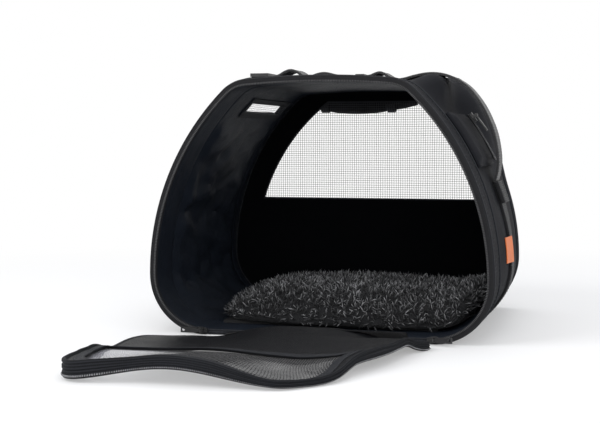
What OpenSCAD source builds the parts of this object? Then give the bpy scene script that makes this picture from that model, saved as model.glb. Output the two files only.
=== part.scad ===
// Soft-sided pet carrier. Its whole front is a zipped door, shown unzipped and
// folded down on the floor. +X is the carrier's right seen from the front,
// +Y is its back, and the origin is the middle of its base, on the floor.

/* [Body] */
// Width of the front rim across its widest part
body_w = 376; // [313:1:452]
// Height from the floor to the crown of the roof
body_h = 280; // [233:1:336]
// Depth from the front rim to the rear rim
body_d = 300; // [250:1:360]
// Thickness of the padded walls
wall = 5; // [4.5:0.5:6]
// Radius of the bottom corners
corner_r = 65; // [54:1:78]
// Width of the crowned roof between its shoulders
roof_w = 151; // [126:1:181]
// Radius of the shoulders between ends and roof
shoulder_r = 40; // [34:1:48]
// Radius of the crowned roof
crown_r = 930; // [780:10:1120]

/* [Rims] */
// Depth of the front rim band behind its binding
front_band_d = 48; // [30:1:60]
// Depth of the rear rim band in front of its binding
rear_band_d = 20; // [14:1:30]
// Depth of a rim binding
binding_d = 7; // [5:0.5:10]
// Thickness of a rim binding, inwards from the outside
binding_t = 6; // [5:0.5:8]
// Thickness of the flat spring hoops
hoop_t = 1.4; // [1:0.1:1.6]
// Width of the flat spring hoops
hoop_w = 10; // [6:1:12]

/* [Floor] */
// Thickness of the stiffening board
board_t = 3; // [2:0.5:5]
// How far the plush pad reaches past the flat base at the right, up round the corner
pad_reach = 70; // [0:1:76]
// How far it reaches past the flat base at the left
pad_left_reach = 16; // [0:1:76]
// Gap between the plush pad and the outside of the front and rear rims
pad_rim_gap = 22; // [18:1:40]
// Height of the plush pad at its crown
pad_h = 36; // [24:1:50]

/* [Windows] */
// Border between the outside of the rim and a window's side
window_border = 32; // [30:1:55]
// Height of a window's sill
window_sill = 135; // [110:1:150]
// Drop from the door's top edge to a window's head
window_drop = 8.5; // [8.5:0.5:30]
// Thickness of the sewn fabric panels
panel_t = 4; // [3:0.5:6]
// Thickness of the mesh
mesh_t = 1; // [0.8:0.1:1.5]
// Thickness of the tapes sewn over raw edges
tape_t = 1; // [0.8:0.1:1.5]
// Height of the left vent, measured round the end
vent_h = 18; // [14:1:40]
// Gap between the left vent and the seam of the front rim
vent_front_gap = 58; // [12:1:80]
// Gap between the left vent and the seam of the rear rim
vent_rear_gap = 13; // [10:1:50]

/* [Door] */
// Inset of the door's edge from the outside of the rim
door_inset = 9.5; // [9.5:0.5:14]
// Height of the open door's underside at its hinge
door_lift = 11; // [11:0.5:16]
// Height on the closed door where its soft upper half begins
door_split = 118; // [90:1:122]
// How far the open door's upper half lies to the left
door_skew = 52; // [0:1:60]
// Border between the outside of the rim and the side of the door's window
door_window_border = 24; // [22:1:40]
// Height of the sill of the door's window, with the door shut
door_window_sill = 165; // [135:1:200]
// Drop from the door's top edge to the head of its window
door_window_drop = 11.5; // [11.5:0.5:30]
// Height on the closed door where its edge strip begins
edge_start = 75; // [70:1:85]
// Thickness of the door's edge strip
edge_t = 3; // [2:0.5:5]
// Height of the zip half along the open door's edge
door_zip_h = 3.5; // [2:0.5:5]

/* [Zips] */
// Width of a zip tape
zip_tape_w = 6; // [5:0.5:7]
// Width of a zip coil
coil_w = 3; // [2.5:0.5:4]
// Thickness of a zip coil
coil_t = 1.2; // [1:0.1:2]
// Length of a zip slider
slider_l = 12; // [9:0.5:14]
// Length of a pull from its pin
pull_l = 22; // [16:1:24]
// Width of a pull
pull_w = 6; // [5:0.5:6]
// Radius of a slider's pull pin
pin_r = 0.9; // [0.7:0.05:1.1]

/* [Pocket] */
// Drop of the pocket below the shoulder, measured round the end
pocket_drop = 35; // [26:1:38]
// Height of the pocket, measured round the end
pocket_h = 68; // [60:1:72]
// Gap between the pocket and the seam of the front rim
pocket_front_gap = 8; // [4:1:20]
// Length of the pocket from front to back
pocket_d = 140; // [120:1:160]
// How far the pocket stands off the end
pocket_t = 8; // [6:0.5:9]

/* [Strap] */
// Width of the webbing
web_w = 38; // [25:1:42]
// Thickness of the webbing
web_t = 2.5; // [2:0.5:3]
// Gap between an anchor patch and the pocket above it, measured round the end
anchor_gap = 21; // [21:1:28]
// Height of an anchor patch, measured round the end
anchor_h = 24; // [16:1:26]
// How far an anchor patch stands off the webbing
anchor_t = 5; // [4:0.5:5.5]

/* [Curtain] */
// Radius of the rolled curtain
roll_r = 11; // [8:0.5:14]
// How much longer the rolled curtain is than the flat of the roof
curtain_past = 1; // [-30:1:6]
// Middle of the rolled curtain, which hangs off centre
curtain_mid = -22; // [-24:1:0]
// How far the roll sags at its middle
roll_sag = 11; // [4:1:16]

/* [Hidden] */

FABRIC = [0.06, 0.06, 0.07];
LINING = [0.10, 0.10, 0.11];
TAPE = [0.16, 0.16, 0.17];
MESH = [0.45, 0.45, 0.47];
STEEL = [0.62, 0.63, 0.65];
PLASTIC = [0.12, 0.12, 0.13];
PLUSH = [0.34, 0.34, 0.36];
ORANGE = [0.93, 0.42, 0.10];

// Clearances: between moving bodies, and between a part and its sleeve
run_gap = 0.3;
fit_gap = 0.2;
// Room for the stitching between layers sewn over a curved face
seat = 0.2;
// A cut reaches this far past the face it opens
over = 1;
// Segments in each arc of the outline
arc_n = 20;
$fn = 48;

y_front = -body_d / 2;
y_rear = body_d / 2;
front_band_y = y_front + binding_d;
tube_front = front_band_y + front_band_d;
rear_band_y = y_rear - binding_d;
tube_back = rear_band_y - rear_band_d;

// Centres of the arcs that make the right half of the outline, as [x, z]
half_w = body_w / 2;
window_head = body_h - door_inset - window_drop;
corner_c = [half_w - corner_r, corner_r];
crown_c = [0, body_h - crown_r];
crown_start = acos(roof_w / 2 / (crown_r - shoulder_r));
shoulder_c = crown_c + (crown_r - shoulder_r) * [cos(crown_start), sin(crown_start)];
// The bowed end leaves the corner upright and runs smoothly into the shoulder
shoulder_in = half_w - shoulder_c[0];
shoulder_up = shoulder_c[1] - corner_r;
side_r = (shoulder_in ^ 2 + shoulder_up ^ 2 - shoulder_r ^ 2) / 2 / (shoulder_in - shoulder_r);
side_c = [half_w - side_r, corner_r];
side_turn = atan2(shoulder_up, shoulder_c[0] - side_c[0]);

function arc_pts(c, r, a0, a1, n = arc_n) =
  [for (i = [0:n]) c + r * [cos(a0 + (a1 - a0) * i / n), sin(a0 + (a1 - a0) * i / n)]];
function tail(pts) = [for (i = [1:len(pts) - 1]) pts[i]];
function rev(pts) = [for (i = [len(pts) - 1:-1:0]) pts[i]];
function flip(pts) = [for (p = rev(pts)) [-p[0], p[1]]];
function band(outer, inner) = concat(outer, rev(inner));

// The outline at a depth t inside its outer face: right end, right half, whole
function end_pts(t) = concat(
  arc_pts(corner_c, corner_r - t, -90, 0),
  tail(arc_pts(side_c, side_r - t, 0, side_turn)));
function roof_half(t) = concat(
  arc_pts(shoulder_c, shoulder_r - t, side_turn, crown_start),
  tail(arc_pts(crown_c, crown_r - t, crown_start, 90)));
function roof_pts(t) = concat(roof_half(t), tail(flip(roof_half(t))));
function half_pts(t) = concat(end_pts(t), tail(roof_half(t)));
function outline(t) = concat(half_pts(t), tail(flip(half_pts(t))));
// Angle that a length takes up round a bowed end
function side_angle(l) = l / side_r * 180 / PI;

module along_y(y0, y1) {
  translate([0, y1, 0]) rotate([90, 0, 0]) linear_extrude(y1 - y0) children();
}
module ring_2d(t0, t1) {
  difference() {
    polygon(outline(t0));
    polygon(outline(t1));
  }
}
module left_side() { mirror([1, 0, 0]) children(); }
// A plate bent round the right end, standing from r0 to r1 off its outer face
module side_plate(r0, r1, a0, a1, y0, y1) {
  along_y(y0, y1)
    polygon(band(arc_pts(side_c, side_r + r1, a0, a1), arc_pts(side_c, side_r + r0, a0, a1)));
}

// Body shell
module base_panel() {
  color(FABRIC) translate([-corner_c[0], tube_front, 0])
    cube([2 * corner_c[0], tube_back - tube_front, wall]);
}
board_edge = 1;
module base_board() {
  color(LINING) translate([board_edge - corner_c[0], tube_front + board_edge, wall])
    cube([2 * (corner_c[0] - board_edge), tube_back - tube_front - 2 * board_edge, board_t]);
}
module right_end_panel() {
  color(FABRIC) along_y(tube_front, tube_back) polygon(band(end_pts(0), end_pts(wall)));
}
vent_drop = 7.5;
vent_top = side_turn - side_angle(vent_drop);
vent_front = tube_front + vent_front_gap;
vent_back = tube_back - vent_rear_gap;
vent_turn = side_angle(vent_h);
vent_lap = 6;
module left_end_panel() {
  color(FABRIC) left_side() difference() {
    along_y(tube_front, tube_back) polygon(band(end_pts(0), end_pts(wall)));
    side_plate(-wall - over, over, vent_top - vent_turn, vent_top, vent_front, vent_back);
  }
}
module vent_plate(depth, t, lap) {
  turn = side_angle(lap);
  left_side() side_plate(-depth - t, -depth, vent_top - vent_turn - turn, vent_top + turn,
    vent_front - lap, vent_back + lap);
}
module left_vent_mesh() { color(MESH) vent_plate(wall + seat, mesh_t, vent_lap - 1); }
module left_vent_tape() {
  depth = wall + mesh_t + 2 * seat;
  color(TAPE) difference() {
    vent_plate(depth, tape_t, vent_lap);
    vent_plate(depth - over, tape_t + 2 * over, -1);
  }
}
module roof_panel() {
  color(FABRIC) along_y(tube_front, tube_back) polygon(band(roof_pts(0), roof_pts(wall)));
}

// Rims: a band with a sleeve for a spring hoop, closed by a bound edge
hoop_out = wall / 2 - hoop_t / 2;
hoop_in = wall / 2 + hoop_t / 2;
sleeve_d = hoop_w + 2 * fit_gap;
module rim_band(y0, y1, sleeve_y) {
  difference() {
    along_y(y0, y1) ring_2d(0, wall);
    along_y(sleeve_y, sleeve_y + sleeve_d) ring_2d(hoop_out - fit_gap, hoop_in + fit_gap);
  }
}
module hoop(sleeve_y) {
  along_y(sleeve_y + fit_gap, sleeve_y + fit_gap + hoop_w) ring_2d(hoop_out, hoop_in);
}
front_sleeve_y = front_band_y;
rear_sleeve_y = rear_band_y - sleeve_d;
module front_band() { color(FABRIC) rim_band(front_band_y, tube_front, front_sleeve_y); }
module rear_band() { color(FABRIC) rim_band(tube_back, rear_band_y, rear_sleeve_y); }
module front_hoop() { color(STEEL) hoop(front_sleeve_y); }
module rear_hoop() { color(STEEL) hoop(rear_sleeve_y); }
module front_binding() { color(TAPE) along_y(y_front, front_band_y) ring_2d(0, binding_t); }
module rear_binding() { color(TAPE) along_y(rear_band_y, y_rear) ring_2d(0, binding_t); }

// Plush pad: crowned, with rounded corners, its ends bent up round the base's corners
pad_w = 2 * corner_c[0] + pad_reach + pad_left_reach;
pad_d = body_d - 2 * pad_rim_gap;
pad_c = [(pad_reach - pad_left_reach) / 2, 4];
pad_n = 40;
pad_power = 3.2;
pad_draw = 0.03;
pad_floor = wall + board_t;
// Each level: share of the outline, share of the height
pad_levels = [[0.3, 0], [0.52, 0], [0.64, 0], [0.74, 0], [0.83, 0], [0.93, 0], [0.985, 0.12],
  [1, 0.34], [0.985, 0.55], [0.93, 0.72],
  [0.87, 0.79], [0.8, 0.84], [0.72, 0.88], [0.6, 0.92], [0.4, 0.97], [0.2, 0.995]];
function pad_edge(a) = (1 - pad_draw * (1 + cos(4 * a)) / 2)
  / (abs(cos(a)) ^ pad_power + abs(sin(a)) ^ pad_power) ^ (1 / pad_power)
  * [pad_w / 2 * cos(a), pad_d / 2 * sin(a)];
pad_bend_r = corner_r - pad_floor;
function pad_bent(p) = let (s = abs(p[0]) - corner_c[0], a = s / pad_bend_r * 180 / PI)
  s <= 0 ? p : [sign(p[0]) * (corner_c[0] + (pad_bend_r + pad_floor - p[2]) * sin(a)), p[1],
    corner_r - (pad_bend_r + pad_floor - p[2]) * cos(a)];
pad_pts = concat(
  [for (l = pad_levels) for (i = [0:pad_n - 1])
    let (p = pad_c + l[0] * pad_edge(360 * i / pad_n)) pad_bent([p[0], p[1], pad_floor + l[1] * pad_h])],
  [[pad_c[0], pad_c[1], pad_floor + pad_h], [pad_c[0], pad_c[1], pad_floor]]);
pad_top = len(pad_levels) * pad_n;
pad_faces = concat(
  [for (k = [0:len(pad_levels) - 2]) for (i = [0:pad_n - 1])
    let (a = k * pad_n + i, b = k * pad_n + (i + 1) % pad_n) [a + pad_n, b, a]],
  [for (k = [0:len(pad_levels) - 2]) for (i = [0:pad_n - 1])
    let (a = k * pad_n + i, b = k * pad_n + (i + 1) % pad_n) [a + pad_n, b + pad_n, b]],
  [for (i = [0:pad_n - 1]) [pad_top, pad_top - pad_n + (i + 1) % pad_n, pad_top - pad_n + i]],
  [for (i = [0:pad_n - 1]) [pad_top + 1, i, (i + 1) % pad_n]]);
module plush_pad() { color(PLUSH) polyhedron(pad_pts, pad_faces); }

// A window's outline, grown outwards by g
module window_2d(g, border = window_border, sill = window_sill, head = window_head) {
  r = side_r - border + g;
  intersection() {
    translate(side_c) circle(r, $fn = 180);
    translate([-side_c[0], side_c[1]]) circle(r, $fn = 180);
    translate([-half_w, sill - g]) square([body_w, head - sill + 2 * g]);
  }
}
window_lap = 4;
tape_out = 8;
tape_in = -2;
module window_tape_2d() {
  difference() {
    window_2d(tape_out);
    window_2d(tape_in);
  }
}

// Rear wall, set into the rear binding
rear_in = rear_band_y + mesh_t + tape_t;
module rear_panel() {
  color(LINING) along_y(rear_in, rear_in + panel_t) difference() {
    polygon(outline(binding_t));
    window_2d(0);
  }
}
module rear_mesh() { color(MESH) along_y(rear_in - mesh_t, rear_in) window_2d(window_lap); }
module rear_window_tape() {
  color(TAPE) along_y(rear_in - mesh_t - tape_t, rear_in - mesh_t) window_tape_2d();
}

// Privacy curtain, rolled up above the rear window on the outside
hem_t = 1.5;
hem_h = 8;
hem_edge = 6;
rear_out = rear_in + panel_t;
roll_mid = curtain_mid;
roll_half = (roof_w + curtain_past) / 2;
roll_left = roll_mid - roll_half;
roll_right = roll_mid + roll_half;
roll_end_z = window_head + 6;
tie_w = 10;
tie_t = 1.2;
tie_r = roll_r + 1;
roll_y = rear_out + hem_t + run_gap + tie_r + tie_t;
tie_x = [roll_left + 32, roll_right - 32];
function roll_z(x) = roll_end_z - roll_sag * (1 - ((x - roll_mid) / roll_half) ^ 2);
roll_n = 12;
roll_steps = 14;
roll_pts = concat(
  [for (k = [0:roll_steps]) for (i = [0:roll_n - 1])
    let (x = roll_left + 2 * roll_half * k / roll_steps, a = 360 * i / roll_n)
    [x, roll_y + roll_r * cos(a), roll_z(x) + roll_r * sin(a)]],
  [[roll_left, roll_y, roll_z(roll_left)], [roll_right, roll_y, roll_z(roll_right)]]);
roll_end = (roll_steps + 1) * roll_n;
roll_faces = concat(
  [for (k = [0:roll_steps - 1]) for (i = [0:roll_n - 1])
    let (a = k * roll_n + i, b = k * roll_n + (i + 1) % roll_n) [a, a + roll_n, b]],
  [for (k = [0:roll_steps - 1]) for (i = [0:roll_n - 1])
    let (a = k * roll_n + i, b = k * roll_n + (i + 1) % roll_n) [b, a + roll_n, b + roll_n]],
  [for (i = [0:roll_n - 1]) [roll_end, i, (i + 1) % roll_n]],
  [for (i = [0:roll_n - 1])
    [roll_end + 1, roll_end - roll_n + (i + 1) % roll_n, roll_end - roll_n + i]]);
module curtain_roll() { color(FABRIC) polyhedron(roll_pts, roll_faces); }
module curtain_hem() {
  color(FABRIC) translate([roll_left + hem_edge, rear_out, window_head - hem_h / 2])
    cube([2 * (roll_half - hem_edge), hem_t, hem_h]);
}
module curtain_ties() {
  color(TAPE) for (x = tie_x) translate([x - tie_w / 2, roll_y, roll_z(x)]) rotate([0, 90, 0])
    difference() {
      cylinder(tie_w, r = tie_r + tie_t);
      translate([0, 0, -over]) cylinder(tie_w + 2 * over, r = tie_r);
    }
}

// Webbing strips and anchor patches, made for the right end and mirrored
web_foot = -66;
pocket_a1 = side_turn - side_angle(pocket_drop);
pocket_a0 = pocket_a1 - side_angle(pocket_h);
anchor_top_a = pocket_a0 - side_angle(anchor_gap);
anchor_bot_a = anchor_top_a - side_angle(anchor_h);
function web_pts(t) = concat(
  arc_pts(corner_c, corner_r + t, web_foot, 0),
  tail(arc_pts(side_c, side_r + t, 0, anchor_top_a)));
module webbing() {
  color(TAPE) along_y(-web_w / 2, web_w / 2) polygon(band(web_pts(seat + web_t), web_pts(seat)));
}
anchor_edge = 4;
on_web = web_t + 2 * seat;
module anchor_patch() {
  color(FABRIC) side_plate(on_web, on_web + anchor_t, anchor_bot_a, anchor_top_a,
    -web_w / 2 - anchor_edge, web_w / 2 + anchor_edge);
}
module right_webbing() { webbing(); }
module left_webbing() { left_side() webbing(); }
module right_anchor_patch() { anchor_patch(); }
module left_anchor_patch() { left_side() anchor_patch(); }
tag_low = 11;
tag_high = 39;
tag_front = -50;
tag_back = -26;
module side_tag() {
  color(ORANGE) side_plate(seat, seat + tape_t, side_angle(tag_low), side_angle(tag_high),
    tag_front, tag_back);
}

// Carry strap: middle of the webbing as [x, z], from the right anchor to the left
strap_route = [
  [174, 164.5], [177, 176], [178, 190], [176, 206], [173, 220], [167, 236], [160, 250],
  [151, 263], [141, 274], [128, 282], [114, 287], [98, 288], [82, 285], [68, 281], [57, 281],
  [50, 286], [43, 290], [36, 288], [30, 285], [8, 285], [-6, 285], [-14, 288], [-24, 290],
  [-34, 288], [-43, 284], [-50, 287], [-57, 292], [-64, 294], [-71, 292], [-79, 287], [-88, 285],
  [-114, 285], [-128, 281], [-141, 274], [-151, 263], [-160, 250], [-167, 236], [-173, 220],
  [-176, 206], [-178, 190], [-177, 176], [-174, 164.5]
];
function unit(v) = v / norm(v);
function left_of(v) = [-v[1], v[0]];
function route_dir(i) = let (n = len(strap_route) - 1)
  unit(strap_route[min(i + 1, n)] - strap_route[max(i - 1, 0)]);
function strap_side(d, i0, i1) =
  [for (i = [i0:i1]) strap_route[i] - d * left_of(route_dir(i))];
module strap_run(d0, d1, i0, i1, w) {
  along_y(-w / 2, w / 2) polygon(band(strap_side(d1, i0, i1), strap_side(d0, i0, i1)));
}
strap_last = len(strap_route) - 1;
module carry_strap() { color(TAPE) strap_run(-web_t / 2, web_t / 2, 0, strap_last, web_w); }
// The padded sleeve lies on the hump between two points of the route
sleeve_from = 20;
sleeve_to = 24;
sleeve_t = 5;
module strap_sleeve() {
  color(FABRIC) strap_run(web_t / 2, web_t / 2 + sleeve_t, sleeve_from, sleeve_to, web_w + 4);
}
// The adjuster lies on the level run left of the arch, the keeper goes round the right one
adjuster_at = 30;
adjuster_l = 22;
adjuster_t = 4;
adjuster_bar = 4;
adjuster_slot = 5;
module strap_adjuster() {
  z = strap_route[adjuster_at][1] + web_t / 2;
  x = (strap_route[adjuster_at][0] + strap_route[adjuster_at + 1][0]) / 2;
  color(PLASTIC) translate([x - adjuster_l / 2, -web_w / 2 - adjuster_bar, z]) difference() {
    cube([adjuster_l, web_w + 2 * adjuster_bar, adjuster_t]);
    for (side = [adjuster_bar, adjuster_l - adjuster_bar - adjuster_slot])
      translate([side, adjuster_bar, -over])
        cube([adjuster_slot, web_w, adjuster_t + 2 * over]);
  }
}
keeper_at = 18;
keeper_l = 10;
keeper_t = 1.2;
keeper_gap = 0.4;
module strap_keeper() {
  x = (strap_route[keeper_at][0] + strap_route[keeper_at + 1][0]) / 2;
  z = strap_route[keeper_at][1];
  inner = [keeper_l + 2 * over, web_w + 2 * keeper_gap, web_t + 2 * keeper_gap];
  color(TAPE) translate([x, 0, z]) difference() {
    cube([keeper_l, inner[1] + 2 * keeper_t, inner[2] + 2 * keeper_t], center = true);
    cube(inner, center = true);
  }
}

// Right end pocket, closed by a zip that runs round the end
pocket_front = tube_front + pocket_front_gap;
pocket_back = pocket_front + pocket_d;
pocket_wall = 2.5;
pocket_wall_turn = side_angle(pocket_wall);
pocket_zip_in = 14;
pocket_zip_end = 4;
pocket_zip_y = pocket_back - pocket_zip_in;
pocket_zip_a0 = pocket_a0 + side_angle(pocket_zip_end);
pocket_zip_a1 = pocket_a1 - side_angle(pocket_zip_end);
pocket_coil_top = pocket_t + tape_t + coil_t + 2 * seat;
module pocket_panel() {
  color(FABRIC) difference() {
    side_plate(seat, pocket_t, pocket_a0, pocket_a1, pocket_front, pocket_back);
    side_plate(-over, pocket_t - pocket_wall, pocket_a0 + pocket_wall_turn,
      pocket_a1 - pocket_wall_turn, pocket_front + pocket_wall, pocket_back - pocket_wall);
  }
}
module pocket_zip_tape() {
  color(TAPE) side_plate(pocket_t + seat, pocket_t + seat + tape_t, pocket_zip_a0, pocket_zip_a1,
    pocket_zip_y - zip_tape_w, pocket_zip_y + zip_tape_w);
}
module pocket_zip_coil() {
  color(PLASTIC) side_plate(pocket_coil_top - coil_t, pocket_coil_top, pocket_zip_a0, pocket_zip_a1,
    pocket_zip_y - coil_w / 2, pocket_zip_y + coil_w / 2);
}

// Zip sliders and pulls. In their own frame the track runs along Z, the slider
// stands off along -Y and its width lies along X.
slider_w = 6.4;
slider_t = 2.8;
lug_t = 1.2;
lug_l = 3.6;
pin_up = 2.5;
pin_fit = 0.08;
eye_r = 2.1;
eye_half = 1.6;
lug_in = eye_half + run_gap;
pull_t = 1.6;
pull_neck = 5;
pull_hole_r = 1.5;
module slider_shape() {
  w = slider_w / 2;
  l = slider_l / 2;
  pin_h = slider_t + pin_up;
  rotate([90, 0, 0]) linear_extrude(slider_t) polygon([[-0.7 * w, -l], [0.7 * w, -l], [w, -0.2 * l],
    [w, 0.8 * l], [0.5 * w, l], [-0.5 * w, l], [-w, 0.8 * l], [-w, -0.2 * l]]);
  for (side = [-1, 1]) translate([side * (lug_in + lug_t / 2), -pin_h / 2 - slider_t / 2, 0])
    cube([lug_t, pin_h + 1.8 - slider_t + 0.4, lug_l], center = true);
  translate([0, -pin_h, 0]) rotate([0, 90, 0])
    cylinder(2 * (lug_in + lug_t), r = pin_r, center = true);
}
// The pull turns on the slider's pin, which is the origin here, and points along Z
module pull_shape() {
  difference() {
    union() {
      rotate([0, 90, 0]) cylinder(2 * eye_half, r = eye_r, center = true);
      translate([-eye_half, -pull_t / 2, 0]) cube([2 * eye_half, pull_t, pull_neck]);
      translate([-pull_w / 2, -pull_t / 2, pull_neck]) cube([pull_w, pull_t, pull_l - pull_neck]);
    }
    rotate([0, 90, 0]) cylinder(2 * eye_half + 2 * over, r = pin_r + pin_fit, center = true);
    translate([0, 0, pull_l - 2 * pull_hole_r]) rotate([90, 0, 0])
      cylinder(pull_t + 2 * over, r = pull_hole_r, center = true);
  }
}

// Door zip on the body: the tape lies on the front binding, from corner to corner
zip_out = 0.5;
coil_out = zip_out + zip_tape_w - coil_w + 0.8;
zip_tape_t = 2;
coil_face = y_front - zip_tape_t - coil_t;
module frame_zip_tape() {
  color(TAPE) along_y(y_front - zip_tape_t, y_front)
    polygon(band(outline(zip_out), outline(zip_out + zip_tape_w)));
}
module frame_zip_coil() {
  color(PLASTIC) along_y(coil_face, y_front - zip_tape_t)
    polygon(band(outline(coil_out), outline(coil_out + coil_w)));
}
// The open sliders rest at the foot of each bottom corner
slider_rest = -87;
pull_rest = 15;
slider_face = coil_face - run_gap;
slider_track_r = corner_r - coil_out - coil_w / 2;
module on_corner() {
  translate([corner_c[0], 0, corner_c[1]]) rotate([0, -slider_rest, 0])
    translate([slider_track_r, slider_face, 0]) children();
}
module corner_slider() { color(PLASTIC) on_corner() slider_shape(); }
module corner_pull() {
  color(PLASTIC) on_corner() translate([0, -slider_t - pin_up, 0]) rotate([pull_rest, 0, 0]) pull_shape();
}
module right_slider() { corner_slider(); }
module left_slider() { left_side() corner_slider(); }
module right_pull() { corner_pull(); }
module left_pull() { left_side() corner_pull(); }

// The shut pocket slider rests at the head of its zip, with its pull lying down it
pocket_slider_rest = pocket_zip_a1 - side_angle(slider_l / 2);
module on_pocket() {
  translate([side_c[0], 0, side_c[1]]) rotate([0, -pocket_slider_rest, 0])
    translate([side_r + pocket_coil_top + run_gap, pocket_zip_y, 0])
      rotate([0, 0, 90]) children();
}
module pocket_slider() { color(PLASTIC) on_pocket() slider_shape(); }
module pocket_pull() {
  color(PLASTIC) on_pocket() translate([0, -slider_t - pin_up, 0]) rotate([180, 0, 0]) pull_shape();
}

// Door, drawn shut and then folded down about its hinge. The heights in the
// names are those above the floor once it lies open.
door_top = door_lift + panel_t + tape_t;
door_clear = 0.5;
hinge_z = door_top / 2;
hinge_y = y_front - door_clear - (door_top - hinge_z);
hinge_r = 2.5;
hinge_half = corner_c[0] - 23;
hinge_edge = 1.5;
module fold_down() {
  translate([0, hinge_y, hinge_z]) rotate([90, 0, 0]) translate([0, -hinge_y, -hinge_z]) children();
}
module askew() { translate([-door_skew, 0, 0]) children(); }
module door_layer(low, high) {
  fold_down() along_y(hinge_y + low - hinge_z, hinge_y + high - hinge_z) children();
}
module above_2d(z) { translate([-body_w, z]) square([2 * body_w, 2 * body_h]); }
module between_2d(z0, z1) { translate([-body_w, z0]) square([2 * body_w, z1 - z0]); }
module lower_2d(z0) {
  intersection() {
    children();
    between_2d(z0, door_split - run_gap);
  }
}
module upper_2d() {
  intersection() {
    children();
    above_2d(door_split);
  }
}
module hinge_tape() {
  reach = hinge_y + hinge_r + run_gap;
  color(TAPE) {
    translate([-hinge_half, y_front - tape_t, 1]) cube([2 * hinge_half, tape_t, hinge_z]);
    translate([-hinge_half, reach, hinge_z - 1]) cube([2 * hinge_half, y_front - reach, 2]);
  }
}
hem_reach = 12;
module door_hinge_hem() {
  color(FABRIC) {
    translate([-hinge_half, hinge_y, hinge_z]) rotate([0, 90, 0]) cylinder(2 * hinge_half, r = hinge_r);
    translate([-hinge_half, hinge_y - hem_reach, hinge_z + 0.5])
      cube([2 * hinge_half, hem_reach - hinge_edge, door_lift - hinge_z - 0.5]);
  }
}
module door_2d() { polygon(outline(door_inset)); }
module door_edge_2d(t) { ring_2d(door_inset, door_inset + t); }
module door_lower_panel() {
  color(FABRIC) door_layer(door_lift, door_lift + panel_t) lower_2d(hinge_z + hinge_edge) door_2d();
}
module door_lower_edge() {
  color(FABRIC) door_layer(door_zip_h, door_lift) lower_2d(edge_start) door_edge_2d(edge_t);
}
module door_lower_zip() {
  color(TAPE) door_layer(0, door_zip_h) lower_2d(edge_start) door_edge_2d(edge_t + 1);
}
module door_upper_frame() {
  color(FABRIC) askew() door_layer(door_lift, door_lift + panel_t) difference() {
    upper_2d() door_2d();
    door_window_2d(0);
  }
}
door_window_head = body_h - door_inset - door_window_drop;
module door_window_2d(g) { window_2d(g, door_window_border, door_window_sill, door_window_head); }
module door_mesh() {
  color(MESH) askew() door_layer(door_lift - mesh_t, door_lift) door_window_2d(window_lap);
}
module door_window_tape() {
  color(TAPE) askew() door_layer(door_lift + panel_t, door_top) difference() {
    door_window_2d(tape_out);
    door_window_2d(tape_in);
  }
}
module door_upper_edge() {
  color(FABRIC) askew() door_layer(door_zip_h, door_lift) upper_2d() door_edge_2d(edge_t);
}
module door_upper_zip() {
  color(TAPE) askew() door_layer(0, door_zip_h) upper_2d() door_edge_2d(edge_t + 1);
}

base_panel();
base_board();
plush_pad();
left_end_panel();
right_end_panel();
roof_panel();
front_band();
front_hoop();
front_binding();
rear_band();
rear_hoop();
rear_binding();
rear_panel();
rear_mesh();
rear_window_tape();
curtain_hem();
curtain_roll();
curtain_ties();
left_vent_mesh();
left_vent_tape();
pocket_panel();
pocket_zip_tape();
pocket_zip_coil();
pocket_slider();
pocket_pull();
left_webbing();
right_webbing();
left_anchor_patch();
right_anchor_patch();
side_tag();
carry_strap();
strap_adjuster();
strap_sleeve();
strap_keeper();
frame_zip_tape();
frame_zip_coil();
left_slider();
left_pull();
right_slider();
right_pull();
hinge_tape();
door_hinge_hem();
door_lower_panel();
door_lower_edge();
door_lower_zip();
door_upper_frame();
door_mesh();
door_window_tape();
door_upper_edge();
door_upper_zip();
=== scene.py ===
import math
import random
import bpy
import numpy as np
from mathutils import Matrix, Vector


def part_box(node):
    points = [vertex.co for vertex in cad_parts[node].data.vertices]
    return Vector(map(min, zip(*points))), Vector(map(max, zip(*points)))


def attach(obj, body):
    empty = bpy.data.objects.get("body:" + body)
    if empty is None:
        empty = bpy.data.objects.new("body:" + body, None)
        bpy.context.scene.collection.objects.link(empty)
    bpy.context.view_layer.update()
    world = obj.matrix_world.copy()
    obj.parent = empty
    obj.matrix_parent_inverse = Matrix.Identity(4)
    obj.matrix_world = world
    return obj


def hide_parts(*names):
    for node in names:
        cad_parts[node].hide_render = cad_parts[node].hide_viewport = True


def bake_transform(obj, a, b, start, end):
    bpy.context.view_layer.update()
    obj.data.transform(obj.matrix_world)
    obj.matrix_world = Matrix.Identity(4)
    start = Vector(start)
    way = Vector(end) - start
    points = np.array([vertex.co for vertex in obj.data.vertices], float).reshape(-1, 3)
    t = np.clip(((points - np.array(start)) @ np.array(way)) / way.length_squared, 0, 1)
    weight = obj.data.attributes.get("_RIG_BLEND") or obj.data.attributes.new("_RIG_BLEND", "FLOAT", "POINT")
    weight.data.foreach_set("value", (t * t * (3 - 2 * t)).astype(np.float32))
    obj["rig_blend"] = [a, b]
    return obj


bl_info = {
    "name": "Soft Pet Carrier",
    "version": (1, 0, 0),
    "blender": (4, 5, 0),
    "location": "View3D > Sidebar > Carrier",
    "description": "Dresses the packed carrier in cloth, webbing, net and plush",
    "category": "Object",
}

import bmesh
import bpy
from bpy.props import FloatProperty, FloatVectorProperty, IntProperty, PointerProperty
from bpy.types import Operator, Panel, PropertyGroup
from mathutils import Matrix, Vector, noise

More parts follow.
